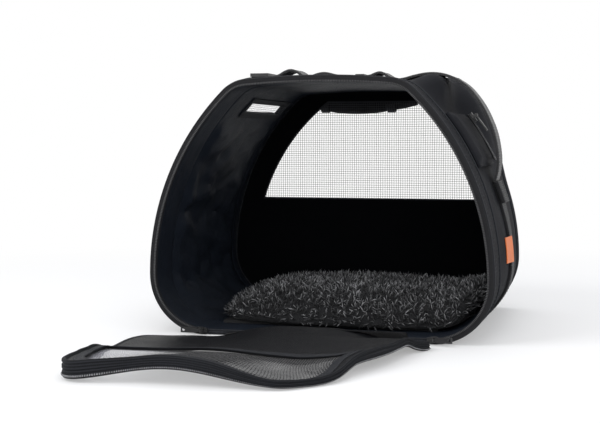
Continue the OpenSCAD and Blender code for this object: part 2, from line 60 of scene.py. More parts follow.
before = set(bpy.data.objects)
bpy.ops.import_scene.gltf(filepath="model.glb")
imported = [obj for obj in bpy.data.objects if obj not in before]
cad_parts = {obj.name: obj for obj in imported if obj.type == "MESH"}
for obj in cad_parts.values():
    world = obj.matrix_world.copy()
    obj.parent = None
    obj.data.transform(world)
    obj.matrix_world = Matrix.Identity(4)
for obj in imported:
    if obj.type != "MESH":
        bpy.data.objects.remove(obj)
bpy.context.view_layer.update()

# The shape of a rim, in mm, in its own plane: x across, z up
RIM_LOW, RIM_HIGH = (corner * 1000 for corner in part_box("front_binding"))
HALF = RIM_HIGH.x
TALL = RIM_HIGH.z
FRONT = -RIM_LOW.y
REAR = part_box("rear_binding")[1].y * 1000
WALL = 5.0
CORNER_R = 65.0
SHOULDER_R = 40.0
CROWN_R = 930.0
ROOF = 151.0
CORNER = (HALF - CORNER_R, CORNER_R)
CROWN = (0.0, TALL - CROWN_R)
SHOULDER = (ROOF / 2, CROWN[1] + math.sqrt((CROWN_R - SHOULDER_R) ** 2 - (ROOF / 2) ** 2))
RISE = SHOULDER[1] - CORNER[1]
SIDE_R = ((HALF - SHOULDER[0]) ** 2 + RISE**2 - SHOULDER_R**2) / (2 * (HALF - SHOULDER[0] - SHOULDER_R))
SIDE = (HALF - SIDE_R, CORNER[1])
SIDE_TURN = math.degrees(math.atan2(RISE, SHOULDER[0] - SIDE[0]))
CROWN_TURN = math.degrees(math.atan2(SHOULDER[1] - CROWN[1], SHOULDER[0]))
ARCS = {
    "corner": (CORNER, CORNER_R, -90.0, 0.0),
    "side": (SIDE, SIDE_R, 0.0, SIDE_TURN),
    "shoulder": (SHOULDER, SHOULDER_R, SIDE_TURN, CROWN_TURN),
    "crown": (CROWN, CROWN_R, CROWN_TURN, 180.0 - CROWN_TURN),
}
# Seams across the depth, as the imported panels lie
BODY_FRONT = -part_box("roof_panel")[0].y * 1000
BODY_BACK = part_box("roof_panel")[1].y * 1000
BAND_FRONT = -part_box("front_band")[0].y * 1000
BAND_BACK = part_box("rear_band")[1].y * 1000
# Each window: its border from the rim's outside, its sill and its head
REAR_WINDOW = (32.0, 135.0, 262.0)
DOOR_WINDOW = (24.0, 165.0, 259.0)
# The strap's route, in mm across and up, as the part's source gives it
STRAP_ROUTE = [
    (174, 164.5), (177, 176), (178, 190), (176, 206), (173, 220), (167, 236), (160, 250),
    (151, 263), (141, 274), (128, 282), (114, 287), (98, 288), (82, 285), (68, 281),
    (57, 281), (50, 286), (43, 290), (36, 288), (30, 285), (8, 285), (-6, 285), (-14, 288),
    (-24, 290), (-34, 288), (-43, 284), (-50, 287), (-57, 292), (-64, 294), (-71, 292),
    (-79, 287), (-88, 285), (-114, 285), (-128, 281), (-141, 274), (-151, 263), (-160, 250),
    (-167, 236), (-173, 220), (-176, 206), (-178, 190), (-177, 176), (-174, 164.5),
]
# The open door: how far its far half has slid, and where the cloth turns over
DOOR_SKEW = 52.0
DOOR_TURN = Vector((0.5, 0.87))
DOOR_TURN_FROM = -10.0
DOOR_TURN_OVER = 150.0
DOOR_HINGE = 150.5
DOOR_INSET = 11.2
# How far the pad reaches past the flat base, round the corner, at the left and the right
PAD_REACH = (16.0, 70.0)


class CarrierSizes(PropertyGroup):
    """Sizes of the details that a maker would change."""

    cloth_pitch: FloatProperty(name="Cloth pitch", description="Spacing of the shell cloth's threads", default=0.0011, unit="LENGTH")
    net_pitch: FloatProperty(name="Net pitch", description="Spacing of the net's threads", default=0.0029, unit="LENGTH")
    net_thread: FloatProperty(name="Net thread", description="Thickness of the net's threads", default=0.00042, unit="LENGTH")
    rib_pitch: FloatProperty(name="Webbing rib", description="Spacing of the webbing's ribs", default=0.0021, unit="LENGTH")
    tooth_pitch: FloatProperty(name="Zip tooth", description="Spacing of the zip's teeth", default=0.0017, unit="LENGTH")
    stitch: FloatProperty(name="Stitch", description="Length of one stitch", default=0.0028, unit="LENGTH")
    tuft: FloatProperty(name="Tuft", description="Length of one tuft of the plush", default=0.0092, unit="LENGTH")
    tufts: IntProperty(name="Tufts", description="Number of tufts on the pad", default=9800)
    fullness: FloatProperty(name="Fullness", description="How far the right shoulder stands out at the rear", default=0.024, unit="LENGTH")
    swell: FloatProperty(name="Swell", description="How far the soft ends swell", default=0.003, unit="LENGTH")
    door_lift: FloatProperty(name="Door lift", description="Height of the wave in the door's far edge", default=0.014, unit="LENGTH")
    door_sag: FloatProperty(name="Door sag", description="How far the door's net sags behind its far edge", default=0.002, unit="LENGTH")
    door_arch: FloatProperty(name="Door arch", description="Height of the arch in the door's right edge", default=0.010, unit="LENGTH")


class CarrierColours(PropertyGroup):
    """Colours of the cloths and hard pieces."""

    shell: FloatVectorProperty(name="Shell", description="Cloth of the body", subtype="COLOR", default=(0.0125, 0.0130, 0.0158))
    lining: FloatVectorProperty(name="Lining", description="Cloth inside the body", subtype="COLOR", default=(0.0125, 0.0160, 0.0235))
    binding: FloatVectorProperty(name="Binding", description="Tape round the rims", subtype="COLOR", default=(0.0240, 0.0252, 0.0290))
    zip_tape: FloatVectorProperty(name="Zip tape", description="Tape of the zips", subtype="COLOR", default=(0.0150, 0.0150, 0.0165))
    # Zip teeth: pale as a painted highlight for the light dotted line along the door's and pocket's coils; the frame's
    # coil takes this colour at 0.3.
    teeth: FloatVectorProperty(name="Zip teeth", description="Teeth of the zips", subtype="COLOR", default=(0.170, 0.170, 0.178))
    net: FloatVectorProperty(name="Net", description="Thread of the windows", subtype="COLOR", default=(0.020, 0.020, 0.022))
    webbing: FloatVectorProperty(name="Webbing", description="Strap and side webbing", subtype="COLOR", default=(0.0125, 0.0125, 0.0140))
    # Plush: the root colour is near black as painted shade between the tufts; the tip colour is the pile's pale grey
    # with painted highlight.
    plush: FloatVectorProperty(name="Plush", description="Root of the plush", subtype="COLOR", default=(0.0045, 0.0047, 0.0055))
    plush_tip: FloatVectorProperty(name="Plush tip", description="Tip of the plush", subtype="COLOR", default=(0.860, 0.865, 0.890))
    enamel: FloatVectorProperty(name="Enamel", description="Sliders and pulls", subtype="COLOR", default=(0.014, 0.014, 0.015))
    buckle: FloatVectorProperty(name="Buckle", description="Moulded strap fittings", subtype="COLOR", default=(0.016, 0.016, 0.017))
    tag: FloatVectorProperty(name="Tag", description="Blank tag on the end", subtype="COLOR", default=(0.83, 0.19, 0.035))
    floor: FloatVectorProperty(name="Floor", description="Floor under the part", subtype="COLOR", default=(0.93, 0.93, 0.94))


def sizes():
    return bpy.context.scene.carrier_sizes


def colours():
    return bpy.context.scene.carrier_colours


# ---------------------------------------------------------------- finishes


class Value:
    """A shader socket that takes Python arithmetic."""

    def __init__(self, finish, socket):
        self.finish = finish
        self.socket = socket

    def math(self, operation, *terms):
        return self.finish.node("ShaderNodeMath", {"operation": operation}, dict(enumerate(terms)))

    def __add__(self, other):
        return self.math("ADD", self, other)

    __radd__ = __add__

    def __sub__(self, other):
        return self.math("SUBTRACT", self, other)

    def __rsub__(self, other):
        return self.math("SUBTRACT", other, self)

    def __mul__(self, other):
        return self.math("MULTIPLY", self, other)

    __rmul__ = __mul__

    def __truediv__(self, other):
        return self.math("DIVIDE", self, other)

    def __rtruediv__(self, other):
        return self.math("DIVIDE", other, self)

    def __pow__(self, other):
        return self.math("POWER", self, other)

    def __abs__(self):
        return self.math("ABSOLUTE", self)

    def sin(self):
        return self.math("SINE", self)

    def over(self, edge):
        return self.math("GREATER_THAN", self, edge)

    def under(self, edge):
        return self.math("LESS_THAN", self, edge)

    def greater(self, other):
        return self.math("MAXIMUM", self, other)

    def wave(self, pitch):
        """A ripple from -1 to 1 that repeats every pitch."""
        return (self * (math.tau / pitch)).sin()

    def saw(self, pitch):
        """Distance from the nearest line of a set that far apart."""
        return self.math("PINGPONG", self, pitch / 2)


class Finish:
    """A material under construction."""

    def __init__(self, name):
        self.material = bpy.data.materials.new(name)
        self.material.use_nodes = True
        self.tree = self.material.node_tree
        self.tree.nodes.clear()

    def node(self, kind, settings=None, sockets=None, out=0):
        made = self.tree.nodes.new(kind)
        for name, value in (settings or {}).items():
            if name == "stops":
                stops = made.color_ramp.elements
                while len(stops) < len(value):
                    stops.new(0.5)
                for stop, (place, colour) in zip(stops, value):
                    stop.position = place
                    stop.color = (*colour, 1)
            else:
                setattr(made, name, value)
        for name, value in (sockets or {}).items():
            if isinstance(value, Value):
                self.tree.links.new(value.socket, made.inputs[name])
            else:
                made.inputs[name].default_value = value
        return Value(self, made.outputs[out]) if made.outputs else made

    def uv(self):
        """The piece's own map, in metres along and across the cloth."""
        place = self.node("ShaderNodeUVMap", {"uv_map": "cloth"})
        return [self.node("ShaderNodeSeparateXYZ", None, {0: place}, axis) for axis in (0, 1)]

    def attribute(self, name):
        return self.node("ShaderNodeAttribute", {"attribute_name": name}, None, 2)

    def cloud(self, scale, detail=2.0, rough=0.5):
        """Soft noise through the piece, from about 0 to 1."""
        place = self.node("ShaderNodeTexCoord", None, None, 3)
        return self.node("ShaderNodeTexNoise", None, {"Vector": place, "Scale": scale, "Detail": detail, "Roughness": rough})

    def mix(self, low, high, factor):
        """A colour between two."""
        low, high = (c if isinstance(c, Value) else (*c, 1) for c in (low, high))
        return self.node("ShaderNodeMix", {"data_type": "RGBA"}, {0: factor, 6: low, 7: high}, 2)

    def bump(self, height, distance, strength=1.0):
        return self.node("ShaderNodeBump", None, {"Height": height, "Distance": distance, "Strength": strength})

    def surface(self, links, **plain):
        """The shader: links vary over the piece, and plain is the same all over."""
        sockets = {name.replace("_", " ").title(): value for name, value in plain.items()}
        sockets = {name.replace("Ior", "IOR"): value for name, value in sockets.items()}
        shader = self.node("ShaderNodeBsdfPrincipled", None, {**sockets, **links})
        self.node("ShaderNodeOutputMaterial", None, {0: shader})
        return self.material


def shade(colour, factor):
    return tuple(part * factor for part in colour)


def woven_cloth(name, colour, pitch, rough, depth=0.00016, sheen=0.012, crease=0.0, gloss=0.28):
    """Plain-woven nylon: crossing threads, a little mottling, dust and long creases."""
    f = Finish(name)
    u, v = f.uv()
    threads = u.wave(pitch) * v.wave(pitch)
    grain = f.cloud(900.0, 1.0)
    mottle = f.cloud(38.0, 3.0)
    soft = f.cloud(9.0, 2.0) * 0.65 + f.cloud(34.0, 2.0) * 0.35
    tone = f.mix(shade(colour, 0.72), shade(colour, 1.45), mottle * 0.6 + grain * 0.25 + threads * 0.12)
    height = threads * 0.5 + grain * 0.35 + soft * (crease / depth)
    return f.surface(
        {"Base Color": tone, "Roughness": rough + mottle * 0.16 - threads * 0.05, "Normal": f.bump(height, depth)},
        sheen_weight=sheen, sheen_roughness=0.45, specular_ior_level=gloss,
    )


def ribbed_tape(name, colour, pitch, rough, depth=0.0002, across=True, gloss=0.4, ridge_shade=0.0):
    """Woven tape: ribs across or along it, with a herringbone break, and lines along it of painted shade and highlight
    that stand for its ridges.
    """
    f = Finish(name)
    u, v = f.uv()
    ribs = (u if across else v).wave(pitch)
    cross = (v if across else u).wave(pitch * 0.55)
    grain = f.cloud(700.0, 1.0)
    mottle = f.cloud(30.0, 3.0)
    # Painted shade and highlight: light and dark lines along the tape every 3.1 mm, standing for its ridges.
    ridge_shade_lines = (v if across else u).wave(0.0031) * ridge_shade
    tone = f.mix(shade(colour, 0.62), shade(colour, 1.6), ribs * 0.22 + mottle * 0.5 + grain * 0.3 + ridge_shade_lines)
    height = ribs * 0.6 + cross * 0.2 + grain * 0.2
    return f.surface(
        {"Base Color": tone, "Roughness": rough + mottle * 0.18 - ribs * 0.06, "Normal": f.bump(height, depth)},
        sheen_weight=0.015, sheen_roughness=0.4, specular_ior_level=gloss,
    )


def open_net(name, colour, pitch, thread, rough=0.42, depth=0.0002, painted_shade_veil=0.0):
    """Square net: threads where it is solid and holes between them. With a veil, its threads take a painted highlight
    where the pale attribute is high, and a dark veil of painted shade fills its holes where that attribute is low.
    """
    f = Finish(name)
    u, v = f.uv()
    wander = (f.cloud(24.0, 1.0) - 0.5) * (pitch * 0.3)
    along = (u + wander).saw(pitch)
    across = (v + wander).saw(pitch)
    knot = (along + across).under(thread * 1.25)
    solid = along.under(thread / 2).greater(across.under(thread / 2)).greater(knot)
    tone = f.mix(shade(colour, 0.7), shade(colour, 1.8), f.cloud(60.0, 2.0))
    if painted_shade_veil:
        # Painted highlight: where pale is high the threads turn light grey. Painted shade: where it is low, the veil
        # fills the holes dark.
        pale = f.attribute("pale")
        tone = f.mix(tone, shade(colour, 28.0), pale)
        solid = solid.greater((1 - pale) * painted_shade_veil)
    return f.surface(
        {"Base Color": tone, "Roughness": rough + f.cloud(90.0) * 0.2, "Alpha": solid,
         "Normal": f.bump(along * -900.0 - across * 900.0, depth)},
        specular_ior_level=0.4,
    )


def plush_pile(name, root_painted_shade, tip):
    """Curly pile: the root colour is painted shade between the tufts, and a painted highlight pales their tips, which
    are also a little shiny.
    """
    f = Finish(name)
    rise = f.attribute("rise")
    strand = f.cloud(420.0, 3.0, 0.7)
    patch = f.cloud(26.0, 2.0)
    tone = f.mix(root_painted_shade, tip, (rise ** 2.6) * (0.03 + f.attribute("pale") * 0.97) * (0.3 + patch * 1.2) + strand * 0.03)
    return f.surface(
        {"Base Color": tone, "Roughness": 0.78 + strand * 0.15, "Normal": f.bump(strand, 0.0012)},
        sheen_weight=0.12, sheen_roughness=0.35, specular_ior_level=0.06,
    )


def moulded(name, colour, rough, metal=0.0, coat=0.0, grain=0.00004):
    """Moulded or enamelled hard piece: fine grain, rubbed paler where it is handled."""
    f = Finish(name)
    speck = f.cloud(1600.0, 2.0)
    rub = f.cloud(70.0, 4.0, 0.6)
    tone = f.mix(shade(colour, 0.8), shade(colour, 2.1), (rub - 0.35).greater(0.0) * 1.2)
    return f.surface(
        {"Base Color": tone, "Roughness": rough + (rub - 0.5) * 0.3 + speck * 0.06, "Normal": f.bump(speck, grain)},
        metallic=metal, coat_weight=coat, coat_roughness=0.2,
    )


def felted_tag(name, colour):
    """Blank tag of coated tape: fine cross ribs and rubbed wear, darker in patches."""
    f = Finish(name)
    u, v = f.uv()
    ribs = u.wave(0.0009) * v.wave(0.0009)
    wear = f.cloud(120.0, 4.0, 0.6)
    tone = f.mix(shade(colour, 0.72), shade(colour, 1.08), wear * 0.9 + ribs * 0.08)
    return f.surface({"Base Color": tone, "Roughness": 0.5 + wear * 0.2, "Normal": f.bump(ribs * 0.5 + wear, 0.00012)}, sheen_weight=0.15)


FINISHES = {}


def finish(name):
    """One of the carrier's finishes, made the first time it is asked for."""
    if name in FINISHES:
        return FINISHES[name]
    c = colours()
    s = sizes()
    makers = {
        "shell_cloth": lambda: woven_cloth(name, c.shell, s.cloth_pitch, 0.56, sheen=0.0, crease=0.0009, gloss=0.03),
        "lining_cloth": lambda: woven_cloth(name, c.lining, s.cloth_pitch, 0.42, 0.00010, 0.0, 0.0038, 0.08),
        # The rear wall's cloth: the lining colour at 0.08, painted shade for the rear wall deep inside the body.
        "rear_cloth_painted_shade": lambda: woven_cloth(name, shade(c.lining, 0.08), s.cloth_pitch, 0.7, 0.00010, 0.0, 0.0012, 0.04),
        # The door's cloth: the shell colour at 0.45, a shaded copy; painted shade on the open door and its hinge flap.
        "door_cloth": lambda: woven_cloth(name, shade(c.shell, 0.45), s.cloth_pitch, 0.42, 0.00012, 0.0, 0.0030, 0.14),
        # rim_binding and door_binding: their last number paints lines of shade and highlight along the tape for its
        # ridges.
        "rim_binding": lambda: ribbed_tape(name, c.binding, 0.0014, 0.6, gloss=0.045, ridge_shade=0.45),
        # The door's edge binding: the binding colour at 0.62, painted shade on the strip standing in shadow under its
        # arch.
        "door_binding": lambda: ribbed_tape(name, shade(c.binding, 0.62), 0.0014, 0.6, gloss=0.05, ridge_shade=0.6),
        "window_tape": lambda: ribbed_tape(name, c.binding, 0.0012, 0.5, gloss=0.06),
        "zip_tape": lambda: ribbed_tape(name, c.zip_tape, 0.0012, 0.5, gloss=0.10),
        # zip_teeth carries the painted highlight of the pale teeth colour; dark_teeth is that colour at 0.3, near the
        # coil's own black.
        "zip_teeth": lambda: moulded(name, c.teeth, 0.25),
        "dark_teeth": lambda: moulded(name, shade(c.teeth, 0.3), 0.45),
        "zip_enamel": lambda: moulded(name, c.enamel, 0.36, 0.0, 0.12),
        "window_net": lambda: open_net(name, c.net, s.net_pitch, s.net_thread),
        # door_net: the 0.72 sets how dark the painted shade veil is, and the pale attribute paints highlight.
        "door_net": lambda: open_net(name, c.net, s.net_pitch, s.net_thread * 2.3, 0.08, 0.00003, 0.72),
        "strap_webbing": lambda: ribbed_tape(name, c.webbing, s.rib_pitch, 0.33, 0.00028, True, 0.35),
        "end_webbing": lambda: ribbed_tape(name, c.webbing, s.rib_pitch, 0.45, 0.00028, True, 0.16),
        "plush_pile": lambda: plush_pile(name, c.plush, c.plush_tip),
        "buckle_plastic": lambda: moulded(name, c.buckle, 0.36),
        "blank_tag": lambda: felted_tag(name, c.tag),
        "stitch_thread": lambda: ribbed_tape(name, shade(c.binding, 1.5), 0.0006, 0.5),
        "spring_steel": lambda: moulded(name, (0.42, 0.42, 0.43), 0.3, 1.0),
        "base_card": lambda: woven_cloth(name, (0.012, 0.012, 0.013), 0.0016, 0.7),
    }
    FINISHES[name] = makers[name]()
    return FINISHES[name]


# ---------------------------------------------------------------- shaping


def ease(t):
    t = min(max(t, 0.0), 1.0)
    return t * t * (3 - 2 * t)


def hump(t, start, full, back, end):
    """0 up to start, 1 from full to back, and 0 again after end."""
    return ease((t - start) / (full - start)) * (1 - ease((t - back) / (end - back)))


class Station:
    """One place along a sweep: across the path, up from its plane, and along it."""

    def __init__(self, x, z, across, along, turn, lean=1.0):
        side = Vector((across[0], across[1], 0)) * lean
        self.place = Matrix(((side.x, 0, -across[1], x), (side.y, 0, across[0], z), (0, 1, 0, 0), (0, 0, 0, 1)))
        self.along = along
        self.turn = turn


def arc(name, a0=None, a1=None, steps=12, mirror=False):
    """Points of one arc of the rim, each with the way it faces; the mirror image runs on the other way."""
    centre, radius, first, last = ARCS[name]
    a0 = first if a0 is None else a0
    a1 = last if a1 is None else a1
    points = []
    for i in range(steps + 1):
        angle = math.radians(a0 + (a1 - a0) * i / steps)
        x, z = centre[0] + radius * math.cos(angle), centre[1] + radius * math.sin(angle)
        points.append((-x, z, math.pi - angle) if mirror else (x, z, angle))
    return points[::-1] if mirror else points


def base_line(steps=24):
    return [(-CORNER[0] + 2 * CORNER[0] * i / steps, 0.0, math.radians(270)) for i in range(steps + 1)]


def upper_rim(fine=1):
    """The rim from its right foot, over the crown, to its left foot."""
    legs = [arc("corner", steps=18 * fine), arc("side", steps=30 * fine), arc("shoulder", steps=10 * fine),
            arc("crown", steps=16 * fine), arc("shoulder", steps=10 * fine, mirror=True),
            arc("side", steps=30 * fine, mirror=True), arc("corner", steps=18 * fine, mirror=True)]
    return [point for leg in legs for point in leg[:-1]] + legs[-1][-1:]


def whole_rim(fine=1):
    return upper_rim(fine) + base_line()[1:]


def on_rim(points):
    """Stations facing as the points say."""
    made = []
    along = 0.0
    for i, (x, z, angle) in enumerate(points):
        if i:
            along += math.dist((x, z), points[i - 1][:2])
        made.append(Station(x, z, (math.cos(angle), math.sin(angle)), along, angle))
    return made


def on_path(points, closed=False):
    """Stations along a line of points, mitred at its corners; they face its right-hand side."""
    made = []
    along = 0.0
    ring = points + points[:1] if closed else points
    for i, point in enumerate(ring):
        before = Vector(ring[i - 1] if i else (ring[-2] if closed else point))
        after = Vector(ring[i + 1] if i + 1 < len(ring) else (ring[1] if closed else point))
        here = Vector(point)
        ways = [d.normalized() for d in (here - before, after - here) if d.length > 1e-9]
        faces = [Vector((d.y, -d.x)) for d in ways]
        across = sum(faces, Vector((0, 0))).normalized()
        lean = 1 / max(across.dot(faces[0]), 0.5)
        if i:
            along += (here - Vector(ring[i - 1])).length
        made.append(Station(here.x, here.y, across, along, 0.0, lean))
    return made


def smooth_path(points, rounds=2):
    """Cuts the corners of an open line of points, keeping its ends."""
    for _ in range(rounds):
        cut = [points[0]]
        for a, b in zip(points, points[1:]):
            cut.append((a[0] * 0.75 + b[0] * 0.25, a[1] * 0.75 + b[1] * 0.25))
            cut.append((a[0] * 0.25 + b[0] * 0.75, a[1] * 0.25 + b[1] * 0.75))
        points = cut + [points[-1]]
    return points


def ring_section(centre, radii, count=10):
    """A closed round section."""
    turn = [math.tau * i / count for i in range(count + 1)]
    return [(centre[0] + radii[0] * math.cos(t), centre[1] + radii[1] * math.sin(t)) for t in turn]


def flat_section(out, inn, low, high, lip=0.8, pitch=6.0, stops=()):
    """A closed flat section with rounded edges: its outer face first, then back along the inner one."""
    count = max(2, round((high - low) / pitch))
    heights = [low + lip + (high - low - 2 * lip) * i / count for i in range(count + 1)]
    heights = sorted([h for h in heights if all(abs(h - s) > 1.5 for s in stops)] + list(stops))
    edge = min(lip, (out - inn) / 2)
    outer = [(out - edge, low), (out - edge * 0.3, low + lip * 0.3)] + [(out, h) for h in heights]
    outer += [(out - edge * 0.3, high - lip * 0.3), (out - edge, high)]
    inner = [(inn + edge * 0.3, high - lip * 0.3)] + [(inn, h) for h in reversed(heights)] + [(inn + edge * 0.3, low + lip * 0.3)]
    return outer + inner + outer[:1]


def start_mesh():
    """A new bmesh with the layers that carry the cloth's own measure."""
    bm = bmesh.new()
    for name in ("along", "across", "turn"):
        bm.verts.layers.float.new(name)
    return bm


def map_cloth(bm, faces):
    """Writes the measure along and across the cloth, in metres, as its map."""
    layers = bm.verts.layers.float
    along, across = layers["along"], layers["across"]
    cloth = bm.loops.layers.uv.get("cloth") or bm.loops.layers.uv.new("cloth")
    for face in faces:
        for loop in face.loops:
            loop[cloth].uv = (loop.vert[along] * 0.001, loop.vert[across] * 0.001)


def sweep(bm, section, stations, cap=False):
    """Draws a section along a row of stations by extruding its edges from each to the next."""
    layers = bm.verts.layers.float
    along, across, turn = layers["along"], layers["across"], layers["turn"]
    ring = [bm.verts.new(stations[0].place @ Vector((out, up, 0))) for out, up in section]
    measure = 0.0
    for i, vert in enumerate(ring):
        if i:
            measure += math.dist(section[i], section[i - 1])
        vert[across] = measure
        vert[along] = stations[0].along
        vert[turn] = stations[0].turn
    edges = [bm.edges.new(pair) for pair in zip(ring, ring[1:])]
    faces = []
    for before, after in zip(stations, stations[1:]):
        made = bmesh.ops.extrude_edge_only(bm, edges=edges)["geom"]
        verts = [g for g in made if isinstance(g, bmesh.types.BMVert)]
        edges = [g for g in made if isinstance(g, bmesh.types.BMEdge)]
        faces += [g for g in made if isinstance(g, bmesh.types.BMFace)]
        bmesh.ops.transform(bm, matrix=after.place @ before.place.inverted(), verts=verts)
        for vert in verts:
            vert[along] = after.along
            vert[turn] = after.turn
    map_cloth(bm, faces)
    bmesh.ops.remove_doubles(bm, verts=bm.verts, dist=1e-4)
    if cap:
        ends = [e for e in bm.edges if e.is_boundary]
        bmesh.ops.holes_fill(bm, edges=ends)
    return faces


def grid(bm, columns, rows, place):
    """A grid of cloth, each vertex put where place(column, row) says, from 0 to 1 each way."""
    layers = bm.verts.layers.float
    made = bmesh.ops.create_grid(bm, x_segments=columns, y_segments=rows, size=0.5)["verts"]
    for vert in made:
        vert.co = place(round((vert.co.x + 0.5) * columns), round((vert.co.y + 0.5) * rows))
        vert[layers["along"]] = vert.co.x
        vert[layers["across"]] = vert.co.y
    faces = list({face for vert in made for face in vert.link_faces})
    map_cloth(bm, faces)
    return faces


def scatter(bm, places):
    """Repeats the shape in bm once at each of the places."""
    copy = bm.verts.layers.int.new("copy")
    count = 1
    while count < len(places):
        made = bmesh.ops.duplicate(bm, geom=bm.verts[:] + bm.edges[:] + bm.faces[:])["geom"]
        for g in made:
            if isinstance(g, bmesh.types.BMVert):
                g[copy] += count
        count *= 2
    bmesh.ops.delete(bm, geom=[v for v in bm.verts if v[copy] >= len(places)], context="VERTS")
    for vert in bm.verts:
        vert.co = places[vert[copy]] @ vert.co


def along_places(stations, out, up, pitch, start=0.0, end=None):
    """Evenly spaced places beside a row of stations: along it, across it, and up."""
    points = [s.place @ Vector((out, up, 0)) for s in stations]
    ups = [s.place.col[1].to_3d() for s in stations]
    lengths = [0.0]
    for a, b in zip(points, points[1:]):
        lengths.append(lengths[-1] + (b - a).length)
    end = lengths[-1] if end is None else end
    places = []
    leg = 0
    for i in range(int((end - start) / pitch) + 1):
        reach = start + i * pitch
        while leg < len(points) - 2 and lengths[leg + 1] < reach:
            leg += 1
        part = (reach - lengths[leg]) / max(lengths[leg + 1] - lengths[leg], 1e-9)
        here = points[leg].lerp(points[leg + 1], part)
        way = (points[leg + 1] - points[leg]).normalized()
        rise = ups[leg].normalized()
        side = rise.cross(way)
        places.append(Matrix((way, side, rise)).transposed().to_4x4())
        places[-1].translation = here
    return places


def beads(places, size):
    """Small rounded pieces, such as teeth and stitches, at a list of places."""
    bm = start_mesh()
    bmesh.ops.create_icosphere(bm, subdivisions=1, radius=0.5)
    bmesh.ops.scale(bm, vec=size, verts=bm.verts)
    scatter(bm, places)
    map_beads(bm)
    return bm


def map_beads(bm):
    cloth = bm.loops.layers.uv.get("cloth") or bm.loops.layers.uv.new("cloth")
    for face in bm.faces:
        for loop in face.loops:
            loop[cloth].uv = (loop.vert.co.x * 0.001, loop.vert.co.y * 0.001)


def stand(bm):
    """Turns a piece drawn in the rim's plane upright, its height above the plane towards the front."""
    bmesh.ops.rotate(bm, matrix=Matrix.Rotation(math.pi / 2, 3, "X"), verts=bm.verts)


def fuller(bm):
    """Fills the right shoulder out towards the rear, where the cloth stands wider than the front rim."""
    for vert in bm.verts:
        x, y, z = vert.co
        back = ease((y - 45) / 55)
        if x < 0 or y < -95 or z < CORNER[1]:
            continue
        reach = Vector((x - SIDE[0], z - SIDE[1]))
        inset = SIDE_R - reach.length
        if reach.angle(Vector((1, 0))) > math.radians(SIDE_TURN):
            reach = Vector((x - SHOULDER[0], z - SHOULDER[1]))
            inset = SHOULDER_R - reach.length
        turn = math.degrees(math.atan2(reach.y, reach.x))
        full = back * ease((turn - 18) / 26) + 0.86 * (1 - back) * ease((y + 95) / 60) * ease((turn - 39.5) / 7)
        full *= (1 - ease((turn - 50) / 36)) * (1 - ease((inset - 12) / 24))
        way = reach.normalized() * sizes().fullness * 1000 * full
        vert.co += Vector((way.x, 0, way.y))


def facing(x, z):
    """The way the shell faces beside a point of its ends or base."""
    if z < CORNER[1]:
        way = Vector((abs(x) - CORNER[0], z - CORNER[1])) if abs(x) > CORNER[0] else Vector((0, -1))
    elif math.atan2(z - SIDE[1], abs(x) - SIDE[0]) < math.radians(SIDE_TURN):
        way = Vector((abs(x) - SIDE[0], z - SIDE[1]))
    elif abs(x) > SHOULDER[0]:
        way = Vector((abs(x) - SHOULDER[0], z - SHOULDER[1]))
    else:
        way = Vector((abs(x) - CROWN[0], z - CROWN[1]))
    way.normalize()
    return Vector((math.copysign(way.x, x), way.y, 0))


def swell(bm, front=-BODY_BACK, back=BODY_FRONT):
    """Lets the soft shell, and what is sewn on it, swell at its ends and fold a little."""
    for vert in bm.verts:
        x, z, h = vert.co
        depth = hump(h, front, front + 50, back - 50, back) if back - front > 100 else 0
        out = sizes().swell * 1000 * hump(z, 10, 75, 105, 190) * depth * (abs(x) > CORNER[0])
        fold = noise.noise(Vector((x * 0.021, z * 0.021, h * 0.012))) * 1.5 * (0.35 + 0.65 * depth)
        fold += noise.noise(Vector((x * 0.05, z * 0.012, h * 0.05 + 7))) * 0.5
        out += fold * hump(h, front - 1, front + 12, back - 12, back + 1) * hump(z, 0, 30, 500, 600)
        vert.co += facing(x, z) * out


def rumple(bm, front, back):
    """Lets an end's lining hang in loose folds inside the shell."""
    across = bm.verts.layers.float["across"]
    for vert in bm.verts:
        x, z, h = vert.co
        if vert[across] < back - front + 2:
            continue
        turn = math.degrees(math.atan2(z - SIDE[1], abs(x) - SIDE[0]))
        loose = hump(h, front + 4, front + 22, back - 16, back - 4) * (1 - ease((turn - 34) / 4.5)) * ease(z / 18)
        fold = abs(noise.noise(Vector((x * 0.030 + h * 0.014, z * 0.030, h * 0.010 + 4)))) * 9.0
        fold += abs(noise.noise(Vector((x * 0.020, z * 0.055 - h * 0.012, h * 0.018 + 9)))) * 6.0
        vert.co -= facing(x, z) * min(fold, 7.0) * loose


def lay(bm, finish_name, name, slot, nodes=(), body="carrier", flat_under=35.0, extra=(), full=False):
    """Makes the finished piece: millimetres to metres, normals, finish, and what it stands for."""
    if full:
        fuller(bm)
    for vert in bm.verts:
        vert.co.z = max(vert.co.z, 0.3)
    bmesh.ops.scale(bm, vec=(0.001,) * 3, verts=bm.verts)
    bmesh.ops.recalc_face_normals(bm, faces=bm.faces)
    mesh = bpy.data.meshes.new(name)
    bm.to_mesh(mesh)
    bm.free()
    mesh.shade_smooth()
    mesh.set_sharp_from_angle(angle=math.radians(flat_under))
    for each in (finish_name, *extra):
        mesh.materials.append(finish(each))
    piece = bpy.data.objects.new(name, mesh)
    bpy.context.scene.collection.objects.link(piece)
    if nodes:
        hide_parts(*nodes)
    if body:
        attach(piece, body)
    return piece


def refinish(nodes, name):
    """Gives carried-over nodes a better finish."""
    for node in nodes:
        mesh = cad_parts[node].data
        mesh.materials.clear()
        mesh.materials.append(finish(name))


